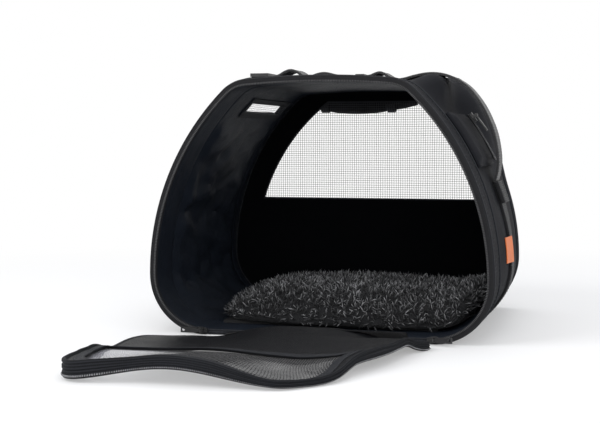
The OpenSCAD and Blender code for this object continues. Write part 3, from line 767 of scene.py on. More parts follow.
def rim_half(z, inset):
    """Half the width inside the rim at a height."""
    if z < CORNER[1]:
        return CORNER[0] + math.sqrt(max((CORNER_R - inset) ** 2 - (CORNER[1] - z) ** 2, 0.0))
    if z < SIDE[1] + (SIDE_R - inset) * math.sin(math.radians(SIDE_TURN)):
        return SIDE[0] + math.sqrt((SIDE_R - inset) ** 2 - (z - SIDE[1]) ** 2)
    return SHOULDER[0] + math.sqrt(max((SHOULDER_R - inset) ** 2 - (z - SHOULDER[1]) ** 2, 0.0))


def window_half(window, z):
    """Half the width of a window at a height."""
    return SIDE[0] + math.sqrt((SIDE_R - window[0]) ** 2 - (z - SIDE[1]) ** 2)


def window_line(window, out=0.0):
    """A window's edge, from its right foot round by the left, as points."""
    low, high = window[1] - out, window[2] + out
    heights = [low + (high - low) * i / 20 for i in range(21)]
    right = [(window_half(window, z) + out, z) for z in heights]
    left = [(-x, z) for x, z in reversed(right)]
    foot = [(-right[0][0] + 2 * right[0][0] * i / 20, low) for i in range(1, 20)]
    head = [(right[-1][0] - 2 * right[-1][0] * i / 12, high) for i in range(1, 12)]
    return right + head + left + foot


def crown_line(inset, head, count):
    """The rim above a window's head, from its left to its right, as points."""
    first = math.degrees(math.asin((head - SHOULDER[1]) / (SHOULDER_R - inset)))
    legs = [(SHOULDER, SHOULDER_R, first, CROWN_TURN, 8), (CROWN, CROWN_R, CROWN_TURN, 90.0, 8)]
    right = []
    for centre, radius, a0, a1, steps in legs:
        for i in range(steps + 1):
            angle = math.radians(a0 + (a1 - a0) * i / steps)
            right.append((centre[0] + (radius - inset) * math.cos(angle), centre[1] + (radius - inset) * math.sin(angle)))
    line = [(-x, z) for x, z in right] + right[-2::-1]
    lengths = [0.0]
    for a, b in zip(line, line[1:]):
        lengths.append(lengths[-1] + math.dist(a, b))
    points = []
    for i in range(count + 1):
        reach = lengths[-1] * i / count
        leg = max(k for k in range(len(line) - 1) if lengths[k] <= reach + 1e-9 and lengths[k + 1] > lengths[k])
        part = (reach - lengths[leg]) / (lengths[leg + 1] - lengths[leg])
        points.append(tuple(a + (b - a) * part for a, b in zip(line[leg], line[leg + 1])))
    return points


WALL_COLUMNS = (10, 36, 10)
WALL_ROWS = (34, 26, 8)


def wall_grid(bm, inset, low, window):
    """A wall that fills the rim, in rows that meet its window's sill and head; the window is left out."""
    edge, middle, _ = WALL_COLUMNS
    columns, rows = sum(WALL_COLUMNS), sum(WALL_ROWS)
    sill, head = window[1:]
    crown = crown_line(inset, head, columns)

    def across(column, z):
        half = rim_half(z, inset)
        gap = min(window_half(window, min(max(z, sill), head)), half - 8)
        if column < edge:
            return -half + (half - gap) * column / edge
        if column > edge + middle:
            return gap + (half - gap) * (column - edge - middle) / edge
        return gap * (2 * (column - edge) / middle - 1)

    def place(column, row):
        if row <= WALL_ROWS[0]:
            part = row / WALL_ROWS[0]
            z = low + (sill - low) * (1 - math.cos(part * math.pi / 2)) if part < 1 else sill
            return Vector((across(column, z), z, 0))
        if row <= WALL_ROWS[0] + WALL_ROWS[1]:
            z = sill + (head - sill) * (row - WALL_ROWS[0]) / WALL_ROWS[1]
            return Vector((across(column, z), z, 0))
        part = (row - WALL_ROWS[0] - WALL_ROWS[1]) / WALL_ROWS[2]
        foot = Vector((across(column, head), head, 0))
        return foot.lerp(Vector((*crown[column], 0)), part)

    hole = []
    for face in grid(bm, columns, rows, place):
        x, z, _ = face.calc_center_median()
        if sill < z < head and abs(x) < window_half(window, z):
            hole.append(face)
    bmesh.ops.delete(bm, geom=hole, context="FACES")
    bmesh.ops.remove_doubles(bm, verts=bm.verts, dist=1e-3)


def net_grid(bm, window, lap, columns=48, rows=36, height=0.0):
    """Net that fills a window and its seam."""
    low, tall = window[1] - lap, window[2] - window[1] + 2 * lap

    def place(column, row):
        z = low + tall * row / rows
        return Vector(((window_half(window, z) + lap) * (2 * column / columns - 1), z, height))

    grid(bm, columns, rows, place)


def thicken(bm, depth):
    """Gives a sheet drawn in a plane its thickness, upwards."""
    faces = bm.faces[:]
    made = bmesh.ops.solidify(bm, geom=faces, thickness=-depth)
    return made


# ---------------------------------------------------------------- the door's own lie


def door_share(x, z):
    """How far a point of the open door has gone over to the part that slid."""
    return ease((DOOR_TURN.dot((x, z)) - DOOR_TURN_FROM) / (DOOR_TURN_OVER * DOOR_TURN.length_squared))


def door_lies(co):
    """Where a point of the door, drawn shut in its plane, lies once the door is open."""
    x, z, up = co
    crown = CROWN[1] + math.sqrt((CROWN_R - DOOR_INSET) ** 2 - x * x)
    inside = min(rim_half(min(z, 262.0), DOOR_INSET) - abs(x), crown - z)
    x -= 15 * hump(z, 30, 62, 175, 235) * ease((x - 10) / 140)
    x -= 10 * hump(z, 18, 40, 130, 155) * ease((-x - 60) / 90)
    x += 6 * hump(z, 150, 172, 195, 215) * ease((-x - 60) / 90)
    near = ease((inside - 1) / 11) * (1 - ease((inside - 11) / 60)) * ease((x - 20) / 50) * ease((z - 185) / 50)
    x += 7 * near
    z += 5 * near
    corner = ease((-x - 40) / 60) * ease((z - 215) / 42)
    x -= 10 * corner
    z += 15 * corner
    here = x
    for _ in range(40):
        here = x - DOOR_SKEW * door_share(here, z)
    left_rear = ease((-here - 30) / 90) * (1 - ease((z - 115) / 75))
    front = (0.25 + 0.32 * ease((here + 30) / 60)) * ease((here + 140) / 50) * ease((z - 150) / 70)
    right = 0.42 * ease((here - 20) / 60) * (1 - ease((z - 150) / 70))
    foot = 0.75 * (1 - ease((z - 14) / 28)) * ease((abs(x) - 70) / 45)
    up *= (1 - 0.8 * left_rear) * (1 - front) * (1 - right) * (1 - foot)
    s = sizes()
    lift = s.door_lift * 1000 * math.exp(-(((here + 62) / 66) ** 2)) * ease((z - 140) / 110)
    lift += s.door_arch * 1000 * hump(z, 40, 82, 165, 245) * ease((here - 20) / 65)
    lift -= s.door_sag * 1000 * hump(z, 60, 150, 240, 262) * hump(here, -75, 0, 95, 140) * ease((inside - 11) / 17)
    lift += 1.6 * noise.noise(Vector((here * 0.016, z * 0.02, 3.1))) * hump(z, 20, 60, 200, 250) * (up > 6)
    return Vector((here, -DOOR_HINGE - z, max(up + lift, 0.3)))


def door_piece(bm, *how, **more):
    """Lays a piece of the door open and lets its far half slide as the door shuts."""
    for vert in bm.verts:
        vert.co = door_lies(vert.co)
    piece = lay(bm, *how, body=None, **more)
    start = Vector((0, -DOOR_HINGE - DOOR_TURN_FROM / DOOR_TURN.y, 0)) * 0.001
    way = Vector((DOOR_TURN.x, -DOOR_TURN.y, 0)) * DOOR_TURN_OVER * 0.001
    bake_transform(piece, "door", "door_tip", start=start, end=start + way)
    return piece


# ---------------------------------------------------------------- operators


class CARRIER_OT_stage(Operator):
    """Floor, light, white surroundings and the camera"""

    bl_idname = "carrier.stage"
    bl_label = "Stage"

    def execute(self, context):
        scene = context.scene
        scene.view_settings.view_transform = "Standard"
        camera = bpy.data.objects.new("camera", bpy.data.cameras.new("camera"))
        camera.location = (0.312, -1.379, 0.212)
        camera.rotation_euler = (math.radians(86.59), 0, math.radians(15))
        camera.data.lens = 72
        camera.data.sensor_width = 36
        camera.data.sensor_fit = "HORIZONTAL"
        scene.collection.objects.link(camera)
        scene.camera = camera
        world = bpy.data.worlds.new("studio")
        scene.world = world
        world.use_nodes = True
        tree = world.node_tree
        tree.nodes.clear()
        seen = tree.nodes.new("ShaderNodeBackground")
        seen.inputs["Color"].default_value = (1, 1, 1, 1)
        lit = tree.nodes.new("ShaderNodeBackground")
        lit.inputs["Color"].default_value = (0.95, 0.97, 1.0, 1)
        lit.inputs["Strength"].default_value = 0.55
        path = tree.nodes.new("ShaderNodeLightPath")
        share = path.outputs["Is Camera Ray"]
        for ray in ("Is Glossy Ray", "Is Transmission Ray"):
            either = tree.nodes.new("ShaderNodeMath")
            either.operation = "MAXIMUM"
            tree.links.new(share, either.inputs[0])
            tree.links.new(path.outputs[ray], either.inputs[1])
            share = either.outputs[0]
        mix = tree.nodes.new("ShaderNodeMixShader")
        tree.links.new(share, mix.inputs[0])
        tree.links.new(lit.outputs[0], mix.inputs[1])
        tree.links.new(seen.outputs[0], mix.inputs[2])
        out = tree.nodes.new("ShaderNodeOutputWorld")
        tree.links.new(mix.outputs[0], out.inputs[0])
        for name, place, aim, size, watts in (
            ("key", (-1.35, -1.35, 1.6), (0, -0.1, 0.1), 1.3, 24),
            ("front", (0.5, -2.1, 0.8), (0, 0, 0.12), 1.5, 18),
            ("fill", (1.7, -1.2, 1.1), (0.1, 0, 0.15), 1.2, 4),
            ("top", (0.1, 0.35, 1.8), (0, 0, 0.1), 1.4, 11),
        ):
            lamp = bpy.data.lights.new(name, "AREA")
            lamp.size = size
            lamp.energy = watts
            holder = bpy.data.objects.new(name, lamp)
            holder.location = place
            holder.rotation_euler = (Vector(aim) - Vector(place)).to_track_quat("-Z", "Y").to_euler()
            scene.collection.objects.link(holder)
        bm = bmesh.new()
        bmesh.ops.create_grid(bm, x_segments=8, y_segments=8, size=30)
        mesh = bpy.data.meshes.new("floor")
        bm.to_mesh(mesh)
        bm.free()
        floor = bpy.data.objects.new("floor", mesh)
        scene.collection.objects.link(floor)
        f = Finish("studio_floor")
        cloud = f.cloud(3.0, 2.0)
        base = f.node("ShaderNodeBsdfDiffuse", None, {"Color": f.mix(shade(colours().floor, 0.99), colours().floor, cloud)})
        glow = f.node("ShaderNodeEmission", None, {"Color": (1, 1, 1, 1), "Strength": 1.0})
        ray = [f.node("ShaderNodeLightPath", None, None, name) for name in ("Is Camera Ray", "Is Glossy Ray", "Is Transmission Ray")]
        place = f.node("ShaderNodeTexCoord", None, None, 3)
        away = f.node("ShaderNodeVectorMath", {"operation": "LENGTH"}, {0: place}, 1)
        far = f.node("ShaderNodeMapRange", {"interpolation_type": "SMOOTHSTEP"}, {0: away, 1: 0.35, 2: 1.1, 3: 0.34, 4: 1.0})
        share = ray[0].greater(ray[1]).greater(ray[2]) * far
        both = f.node("ShaderNodeMixShader", None, {0: share, 1: base, 2: glow})
        f.node("ShaderNodeOutputMaterial", None, {0: both})
        mesh.materials.append(f.material)
        return {"FINISHED"}


class CARRIER_OT_strap(Operator):
    """Carrying strap with its sleeve, keeper and adjuster"""

    bl_idname = "carrier.strap"
    bl_label = "Carrying strap"

    def execute(self, context):
        route = smooth_path([(float(x), float(z)) for x, z in STRAP_ROUTE], 2)
        stations = on_path(route)
        bm = start_mesh()
        section = flat_section(1.25, -1.25, -19, 19, 0.9, 2.4)
        sweep(bm, [(out + (0.22 if abs(up) > 16.2 else 0) * (1 if out > 0 else -1), up) for out, up in section], stations, cap=True)
        stand(bm)
        strap = lay(bm, "strap_webbing", "carry_strap_band", "webbing", ["carry_strap"])
        rows = []
        for side in (-16.5, 16.5):
            for face in (1.5, -1.5):
                rows += along_places(stations, face, side, 3.6, 2, 70)
        bm = beads(rows, (2.4, 0.5, 0.45))
        stand(bm)
        seams = lay(bm, "stitch_thread", "strap_stitches", "webbing")
        refinish(["strap_adjuster", "strap_keeper"], "buckle_plastic")
        sleeve_path = smooth_path([(float(x), float(z)) for x, z in STRAP_ROUTE[20:25]], 2)
        bm = start_mesh()
        sleeve = [(out - 0.9 * (abs(up) / 21) ** 4 * (out > 3), up) for out, up in flat_section(-1.4, -6.2, -21, 21, 1.6, 3.0)]
        sweep(bm, sleeve, on_path(sleeve_path), cap=True)
        stand(bm)
        grip = lay(bm, "shell_cloth", "strap_grip", "webbing", ["strap_sleeve"])
        points = [(x * 0.001, 0.0, z * 0.001) for x, z in route]
        length = sum(math.dist(a, b) for a, b in zip(points, points[1:]))
        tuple(points[0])
        return {"FINISHED"}


class CARRIER_OT_shell(Operator):
    """Base, ends, roof and the two bands, in shell cloth lined inside"""

    bl_idname = "carrier.shell"
    bl_label = "Shell"

    def panel(self, name, points, front, back, node, vent=None, lip=1.4):
        stations = on_rim(points)
        bm = start_mesh()
        stops = vent[2:] if vent else ()
        sweep(bm, flat_section(0, -WALL, front, back, lip, 6.0, stops), stations, cap=len(points) < 150)
        turn = bm.verts.layers.float["turn"]
        if vent:
            low, high, h0, h1 = vent
            holes = []
            for face in bm.faces:
                middle = face.calc_center_median()
                turns = [v[turn] for v in face.verts]
                if min(turns) >= low - 1e-4 and max(turns) <= high + 1e-4 and h0 < middle.z < h1:
                    holes.append(face)
            bmesh.ops.delete(bm, geom=holes, context="FACES")
            bmesh.ops.bridge_loops(bm, edges=[e for e in bm.edges if e.is_boundary])
        swell(bm, front, back)
        across = bm.verts.layers.float["across"]
        if "end" in name:
            rumple(bm, front, back)
        for face in bm.faces:
            face.material_index = 1 if min(v[across] for v in face.verts) > back - front + 1 else 0
        stand(bm)
        return lay(bm, "shell_cloth", name, "shell", [node], extra=("lining_cloth",), full=True)

    def execute(self, context):
        ends = arc("corner", steps=20)[:-1] + arc("side", steps=40)
        self.panel("right_end_cloth", ends, -BODY_BACK, BODY_FRONT, "right_end_panel")
        low, high = 40.54, 44.23
        left = arc("side", high, SIDE_TURN, 3, True)[:-1] + arc("side", low, high, 8, True)[:-1]
        left += arc("side", 0, low, 30, True)[:-1] + arc("corner", steps=20, mirror=True)
        vent = (math.pi - math.radians(high), math.pi - math.radians(low), -110.0, 37.0)
        self.panel("left_end_cloth", left, -BODY_BACK, BODY_FRONT, "left_end_panel", vent)
        roof = arc("shoulder", steps=12)[:-1] + arc("crown", steps=24)[:-1] + arc("shoulder", steps=12, mirror=True)
        self.panel("roof_cloth", roof, -BODY_BACK, BODY_FRONT, "roof_panel")
        self.panel("base_cloth", base_line(30), -BODY_BACK, BODY_FRONT, "base_panel")
        self.panel("front_band_cloth", whole_rim(), BODY_FRONT, BAND_FRONT, "front_band")
        self.panel("rear_band_cloth", whole_rim(), -BAND_BACK, -BODY_BACK, "rear_band")
        stations = on_rim(whole_rim())
        for name, seam in (("front_seam_piping", BODY_FRONT), ("rear_seam_piping", -BODY_BACK)):
            bm = start_mesh()
            sweep(bm, ring_section((0.2, seam), (1.5, 1.5)), stations)
            stand(bm)
            lay(bm, "rim_binding", name, "binding", full=True)
        rows = along_places(stations, 0.25, BODY_FRONT + 4, 4.2) + along_places(stations, 0.25, BAND_FRONT - 5, 4.2)
        rows += along_places(stations, 0.25, BAND_FRONT - 17, 4.2) + along_places(stations, 0.25, -BAND_BACK + 5, 4.2)
        bm = beads(rows, (sizes().stitch * 1000, 0.6, 0.6))
        stand(bm)
        lay(bm, "stitch_thread", "band_stitches", "binding", full=True)
        bm = start_mesh()
        low, high = (corner.y * 1000 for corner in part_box("rear_hoop"))
        sweep(bm, flat_section(-WALL / 2 + 0.5, -WALL / 2 - 0.5, -high, -low, 0.3, 2.0), stations)
        stand(bm)
        lay(bm, "spring_steel", "rear_spring_hoop", "spring_steel", ["rear_hoop"], full=True)
        refinish(["front_hoop"], "spring_steel")
        refinish(["base_board"], "base_card")
        return {"FINISHED"}


class CARRIER_OT_rims(Operator):
    """Bound edges, and the door's zip on the body"""

    bl_idname = "carrier.rims"
    bl_label = "Rims"

    def execute(self, context):
        stations = on_rim(whole_rim())
        profile = [(-5, 0), (0.2, 0), (0.9, 1.6), (0.4, 3.0), (0.9, 4.4), (0.5, 6.2), (-0.6, 7.1), (-1.8, 7.5), (-3.0, 7.0),
                   (-4.2, 7.4), (-5.6, 7.0), (-6.2, 6.0), (-6.0, 3.0), (-5.6, 0.4), (-5, 0)]
        for name, node, base, way in (("front_binding_tape", "front_binding", BAND_FRONT, 1), ("rear_binding_tape", "rear_binding", -BAND_BACK, -1)):
            bm = start_mesh()
            sweep(bm, [(out, base + way * up) for out, up in profile], stations)
            stand(bm)
            lay(bm, "rim_binding", name, "binding", [node], flat_under=60, full=True)
        upper = on_rim(upper_rim())
        tape = [(-0.4, 0.2), (0.1, 1.2), (-0.6, 1.9), (-1.8, 1.5), (-2.8, 2.0), (-4.0, 1.6), (-5.2, 2.0), (-6.4, 1.8), (-6.7, 1.0), (-6.4, 0.2), (-0.4, 0.2)]
        bm = start_mesh()
        sweep(bm, [(out, FRONT + up) for out, up in tape], upper, cap=True)
        stand(bm)
        lay(bm, "zip_tape", "frame_zip_band", "zip_tape", ["frame_zip_tape"], flat_under=60)
        bm = beads(along_places(upper, -5.8, FRONT + 2.4, sizes().tooth_pitch * 1000), (1.15, 2.9, 1.5))
        stand(bm)
        lay(bm, "dark_teeth", "frame_zip_teeth", "zip_coil", ["frame_zip_coil"])
        refinish(["left_slider", "left_pull", "right_slider", "right_pull"], "zip_enamel")
        return {"FINISHED"}


class CARRIER_OT_rear_wall(Operator):
    """Rear wall with its net window, and the curtain rolled above it"""

    bl_idname = "carrier.rear_wall"
    bl_label = "Rear wall"

    def execute(self, context):
        bm = start_mesh()
        wall_grid(bm, 6.0, 6.0, REAR_WINDOW)
        thicken(bm, 3.6)
        for vert in bm.verts:
            x, z, h = vert.co
            vert.co.z -= 145.2 + 1.2 * noise.noise(Vector((x * 0.02, z * 0.02, 1.0))) * hump(z, 8, 40, 90, 130)
        stand(bm)
        lay(bm, "rear_cloth_painted_shade", "rear_wall_cloth", "shell", ["rear_panel"], full=True)
        bm = start_mesh()
        net_grid(bm, REAR_WINDOW, 4.0)
        for vert in bm.verts:
            vert.co.z -= 144.6
        stand(bm)
        lay(bm, "window_net", "rear_window_net", "mesh", ["rear_mesh"])
        line = on_path(window_line(REAR_WINDOW), True)
        bm = start_mesh()
        sweep(bm, flat_section(8, -2, -144.0, -142.9, 0.4, 0.6), line)
        stand(bm)
        lay(bm, "window_tape", "rear_window_binding", "binding", ["rear_window_tape"])
        bm = beads(along_places(line, 6.4, -142.7, 3.8) + along_places(line, 0.6, -142.7, 3.8), (2.6, 0.5, 0.5))
        stand(bm)
        lay(bm, "stitch_thread", "rear_window_stitches", "binding")
        self.curtain()
        return {"FINISHED"}

    def curtain(self):
        middle, half, sag, high = -22.0, 76.0, 11.0, 268.0
        path = []
        for i in range(41):
            x = middle - half + 2 * half * i / 40
            path.append((x, high - sag * (1 - ((x - middle) / half) ** 2)))
        stations = on_path(path)
        outer = []
        for i in range(0, 90):
            turn = math.tau * i / 22
            radius = 11.0 - 8.2 * i / 90
            outer.append((radius * math.cos(turn), radius * math.sin(turn)))
        inner = [((math.hypot(*p) - 1.15) / math.hypot(*p) * p[0], (math.hypot(*p) - 1.15) / math.hypot(*p) * p[1]) for p in reversed(outer)]
        section = outer + inner + outer[:1]
        bm = start_mesh()
        sweep(bm, [(out, -164.0 + up) for out, up in section], stations, cap=True)
        for vert in bm.verts:
            x, z, h = vert.co
            pinch = 1 - 0.10 * sum(math.exp(-(((x - tie) / 9) ** 2)) for tie in (-66, 22))
            centre = high - sag * (1 - ((x - middle) / half) ** 2)
            ripple = 0.5 * noise.noise(Vector((x * 0.04, math.atan2(z - centre, h + 164) * 0.8, 2.0)))
            vert.co = Vector((x, centre + (z - centre) * (pinch + 0.04 * ripple), -164 + (h + 164) * (pinch + 0.04 * ripple)))
        stand(bm)
        lay(bm, "shell_cloth", "rolled_curtain", "shell", ["curtain_roll"], flat_under=50)
        bm = start_mesh()
        hem = on_path([(-92, 262), (-57, 262), (-22, 262), (13, 262), (48, 262)])
        sweep(bm, flat_section(4, -4, -150.6, -149, 0.5, 1.0), hem, cap=True)
        stand(bm)
        lay(bm, "shell_cloth", "curtain_seam", "shell", ["curtain_hem"])
        bm = start_mesh()
        for x in (-66, 22):
            z = high - sag * (1 - ((x - middle) / half) ** 2)
            circle = [(12.4 * math.cos(math.tau * i / 28), 12.4 * math.sin(math.tau * i / 28)) for i in range(28)]
            loops = sweep(bm, flat_section(0.6, -0.6, x - 5, x + 5, 0.35, 1.8), on_path(circle, True))
            for vert in {vert for face in loops for vert in face.verts}:
                a, b, c = vert.co
                vert.co = Vector((c, z + a, -164 + b))
        stand(bm)
        lay(bm, "rim_binding", "curtain_tie_loops", "webbing", ["curtain_ties"])


class CARRIER_OT_vent(Operator):
    """Slim net vent high in the left end"""

    bl_idname = "carrier.vent"
    bl_label = "End vent"

    def execute(self, context):
        bm = start_mesh()
        stations = on_rim(arc("side", 39.6, 45.1, 12, True))
        sweep(bm, [(-5.4, -114 + 155 * i / 30) for i in range(31)], stations)
        stand(bm)
        lay(bm, "window_net", "left_vent_net", "mesh", ["left_vent_mesh"], full=True)
        bm = start_mesh()
        for a0, a1, h0, h1 in ((43.9, 45.4, -116, 43), (39.35, 40.85, -116, 43), (39.35, 45.4, 35, 43), (39.35, 45.4, -116, -108)):
            sweep(bm, flat_section(-5.6, -6.8, h0, h1, 0.4, 6.0), on_rim(arc("side", a0, a1, 8, True)), cap=True)
        stand(bm)
        lay(bm, "window_tape", "left_vent_binding", "binding", ["left_vent_tape"], full=True)
        return {"FINISHED"}


class CARRIER_OT_pocket(Operator):
    """Zipped pocket on the right end"""

    bl_idname = "carrier.pocket"
    bl_label = "Pocket"

    def execute(self, context):
        low, high, front, back = 24.67, 38.59, 87.0, -53.0
        stations = on_rim(arc("side", low, high, 26))
        bm = start_mesh()
        sweep(bm, flat_section(8, 0.3, back, front, 2.4, 5.0), stations, cap=True)
        turn = bm.verts.layers.float["turn"]
        for vert in bm.verts:
            degrees = math.degrees(vert[turn])
            out = (Vector(vert.co.xy) - Vector(SIDE)).length - SIDE_R
            way = Vector((math.cos(vert[turn]), math.sin(vert[turn]), 0))
            edge = hump(degrees, low - 0.1, low + 2.2, high - 2.2, high + 0.1) * hump(vert.co.z, back - 1, back + 14, front - 14, front + 1)
            wrinkle = 0.9 * noise.noise(Vector((vert.co.x * 0.05, vert.co.y * 0.05, vert.co.z * 0.03)))
            if out > 2:
                vert.co -= way * (3.6 * (1 - edge) - wrinkle * edge)
        stand(bm)
        lay(bm, "shell_cloth", "pocket_cloth", "shell", ["pocket_panel"], full=True)
        zip_way = on_rim(arc("side", 25.49, 37.77, 24))
        bm = start_mesh()
        sweep(bm, flat_section(9.2, 8.0, -45, -33, 0.4, 1.4), zip_way, cap=True)
        stand(bm)
        lay(bm, "zip_tape", "pocket_zip_band", "zip_tape", ["pocket_zip_tape"])
        bm = beads(along_places(zip_way, 9.7, -39, sizes().tooth_pitch * 1000), (1.15, 2.0, 3.0))
        stand(bm)
        lay(bm, "zip_teeth", "pocket_zip_teeth", "zip_coil", ["pocket_zip_coil"])
        refinish(["pocket_slider", "pocket_pull"], "zip_enamel")
        return {"FINISHED"}


class CARRIER_OT_webbing(Operator):
    """Webbing down each end, its sewn patches and the blank tag"""

    bl_idname = "carrier.webbing"
    bl_label = "End webbing"

    def execute(self, context):
        for side in ("right", "left"):
            mirror = side == "left"
            legs = [arc("corner", -66, 0, 14, mirror), arc("side", 0, 20.37, 20, mirror)]
            legs = legs[::-1] if mirror else legs
            stations = on_rim(legs[0][:-1] + legs[1])
            bm = start_mesh()
            sweep(bm, flat_section(3.1, 0.2, -19, 19, 0.8, 2.4), stations, cap=True)
            swell(bm)
            stand(bm)
            lay(bm, "end_webbing", side + "_end_webbing", "webbing", [side + "_webbing"])
            patch = on_rim(arc("side", 15.45, 20.37, 10, mirror))
            bm = start_mesh()
            sweep(bm, flat_section(7.9, 2.9, -23, 23, 1.4, 3.0), patch, cap=True)
            swell(bm)
            stand(bm)
            lay(bm, "end_webbing", side + "_sewn_patch", "webbing", [side + "_anchor_patch"])
            rows = [p for h in (-19.5, 19.5, -15, 15) for p in along_places(patch, 8.0, h, 3.4, 2)]
            rows += [p for h in (-17, 17) for p in along_places(stations, 3.2, h, 3.6)]
            bm = beads(rows, (2.5, 0.6, 0.6))
            swell(bm)
            stand(bm)
            lay(bm, "stitch_thread", side + "_webbing_stitches", "webbing")
        bm = start_mesh()
        tag = on_rim(arc("side", 2.25, 7.99, 14))
        sweep(bm, flat_section(1.5, 0.3, 26, 50, 0.45, 1.6), tag, cap=True)
        for vert in bm.verts:
            vert.co += facing(vert.co.x, vert.co.y) * 4.8 * ((50 - vert.co.z) / 24) ** 1.3
        swell(bm)
        stand(bm)
        lay(bm, "blank_tag", "blank_side_tag", "tag", ["side_tag"])
        return {"FINISHED"}


class CARRIER_OT_pad(Operator):
    """Plush pad on the floor of the carrier"""

    bl_idname = "carrier.pad"
    bl_label = "Plush pad"

    def bent(self, co, floor):
        """Where a point of the flat pad lies once its ends turn up round the base's corners."""
        past = abs(co.x) - CORNER[0]
        if past <= 0:
            return co
        radius = CORNER_R - co.z
        turn = past / (CORNER_R - floor)
        return Vector((math.copysign(CORNER[0] + radius * math.sin(turn), co.x), co.y, CORNER_R - radius * math.cos(turn)))

    def cushion(self, low, high):
        """The pad's crowned body, its sides drawn in between rounded corners."""
        floor, thick = 8.0, 36.0
        centre = Vector(((PAD_REACH[1] - PAD_REACH[0]) / 2, (low.y + high.y) / 2, 0))
        reach = Vector((CORNER[0] + sum(PAD_REACH) / 2, (high.y - low.y) / 2, 0))
        bm = start_mesh()
        bmesh.ops.create_grid(bm, x_segments=96, y_segments=64, size=1.0)
        for vert in bm.verts:
            s, t = vert.co.x, vert.co.y
            x = s * math.sqrt(1 - 0.30 * t * t) * (1 - 0.02 * (1 - t * t))
            y = t * math.sqrt(1 - 0.30 * s * s) * (1 - 0.02 * (1 - s * s))
            edge = max(abs(s), abs(t))
            crown = (1 - edge**6) ** 0.5 * (0.78 + 0.14 * (1 - s * s) * (1 - t * t))
            lump = 0.05 * noise.noise(Vector((x * 3.1, y * 3.1, 0.4))) + 0.03 * noise.noise(Vector((x * 9, y * 9, 2.4)))
            tall = thick * min(max(crown + lump * (1 - edge**4), 0.0), 0.95)
            vert.co = centre + Vector((x * reach.x * 0.985, y * reach.y * 0.985, floor + 5 + tall * 0.76))
        rim = [e for e in bm.edges if e.is_boundary]
        made = bmesh.ops.extrude_edge_only(bm, edges=rim)["geom"]
        for shrink in (0.97, 0.86, 0.72, 0.5):
            for vert in (g for g in made if isinstance(g, bmesh.types.BMVert)):
                vert.co.z = floor + 0.6
                vert.co.xy = centre.xy + (vert.co.xy - centre.xy) * shrink
            made = bmesh.ops.extrude_edge_only(bm, edges=[g for g in made if isinstance(g, bmesh.types.BMEdge)])["geom"]
        bmesh.ops.holes_fill(bm, edges=[e for e in bm.edges if e.is_boundary])
        for vert in bm.verts:
            vert.co = self.bent(vert.co, floor)
        map_beads(bm)
        return lay(bm, "plush_pile", "plush_pad_body", "plush", ["plush_pad"])

    def inflate(self, pad, pressure=4.0, cap=0.006):
        """Blows the cushion up as cloth, its underside held, and keeps the shape it takes."""
        scene = bpy.context.scene
        remesh = pad.modifiers.new("remesh", "REMESH")
        remesh.mode = "VOXEL"
        remesh.voxel_size = 0.005
        shape = bpy.data.meshes.new_from_object(pad.evaluated_get(bpy.context.evaluated_depsgraph_get()))
        pad.modifiers.remove(remesh)
        pad.data = shape
        floor = min(v.co.z for v in shape.vertices)
        held = pad.vertex_groups.new(name="held")
        held.add([v.index for v in shape.vertices if v.co.z < floor + 0.003], 1.0, "REPLACE")
        cloth = pad.modifiers.new("cloth", "CLOTH")
        cloth.settings.use_pressure = True
        cloth.settings.uniform_pressure_force = pressure
        cloth.settings.vertex_group_mass = "held"
        cloth.settings.effector_weights.gravity = 0.0
        for number in range(1, 21):
            scene.frame_set(number)
        blown = bpy.data.meshes.new_from_object(pad.evaluated_get(bpy.context.evaluated_depsgraph_get()))
        for old, new in zip(shape.vertices, blown.vertices):
            move = new.co - old.co
            if move.length > cap:
                move *= cap / move.length
            old.co += move
        pad.modifiers.remove(cloth)
        bpy.data.meshes.remove(blown)
        scene.frame_set(1)
        shape.shade_smooth()

    def execute(self, context):
        low, high = (corner * 1000 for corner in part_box("plush_pad"))
        pad = self.cushion(low, high)
        self.inflate(pad)
        # The pad's body takes rise 0 all over: the root colour's painted shade under the tufts.
        pile = pad.data.attributes.new("rise", "FLOAT", "POINT")
        for value in pile.data:
            value.value = 0.0
        tops = [f for f in pad.data.polygons if f.normal.z > -0.25]
        chance = random.Random(11)
        places = []
        for face in chance.choices(tops, [f.area for f in tops], k=sizes().tufts):
            spread = Vector((chance.uniform(-1, 1), chance.uniform(-1, 1), chance.uniform(-0.3, 0.5)))
            way = (face.normal + spread * 0.8).normalized()
            spin = Matrix.Rotation(chance.uniform(0, math.tau), 4, "Z")
            place = way.to_track_quat("Z", "X").to_matrix().to_4x4() @ spin @ Matrix.Scale(chance.uniform(0.6, 1.2), 4)
            here = face.center * 1000 + Vector((chance.uniform(-2.5, 2.5), chance.uniform(-2.5, 2.5), 0))
            place.translation = here - way * 1.5
            places.append(place)
        bm = start_mesh()
        bmesh.ops.create_icosphere(bm, subdivisions=1, radius=0.5)
        rise = bm.verts.layers.float.new("rise")
        pale = bm.verts.layers.float.new("pale")
        long = sizes().tuft * 1000
        for vert in bm.verts:
            part = vert.co.z + 0.5
            # rise runs from a tuft's foot to its tip, from painted shade to painted highlight.
            vert[rise] = part
            girth = 1.75 * (1 - 0.55 * part)
            bend = 4.0 * part * part
            vert.co = Vector((vert.co.x * girth + bend, vert.co.y * girth, part * long))
        scatter(bm, places)
        copy = bm.verts.layers.int["copy"]
        tones = [chance.random() ** 3 for _ in places]
        for vert in bm.verts:
            vert[pale] = tones[vert[copy]]
        map_beads(bm)
        lay(bm, "plush_pile", "plush_pad_tufts", "plush", flat_under=80)
        return {"FINISHED"}


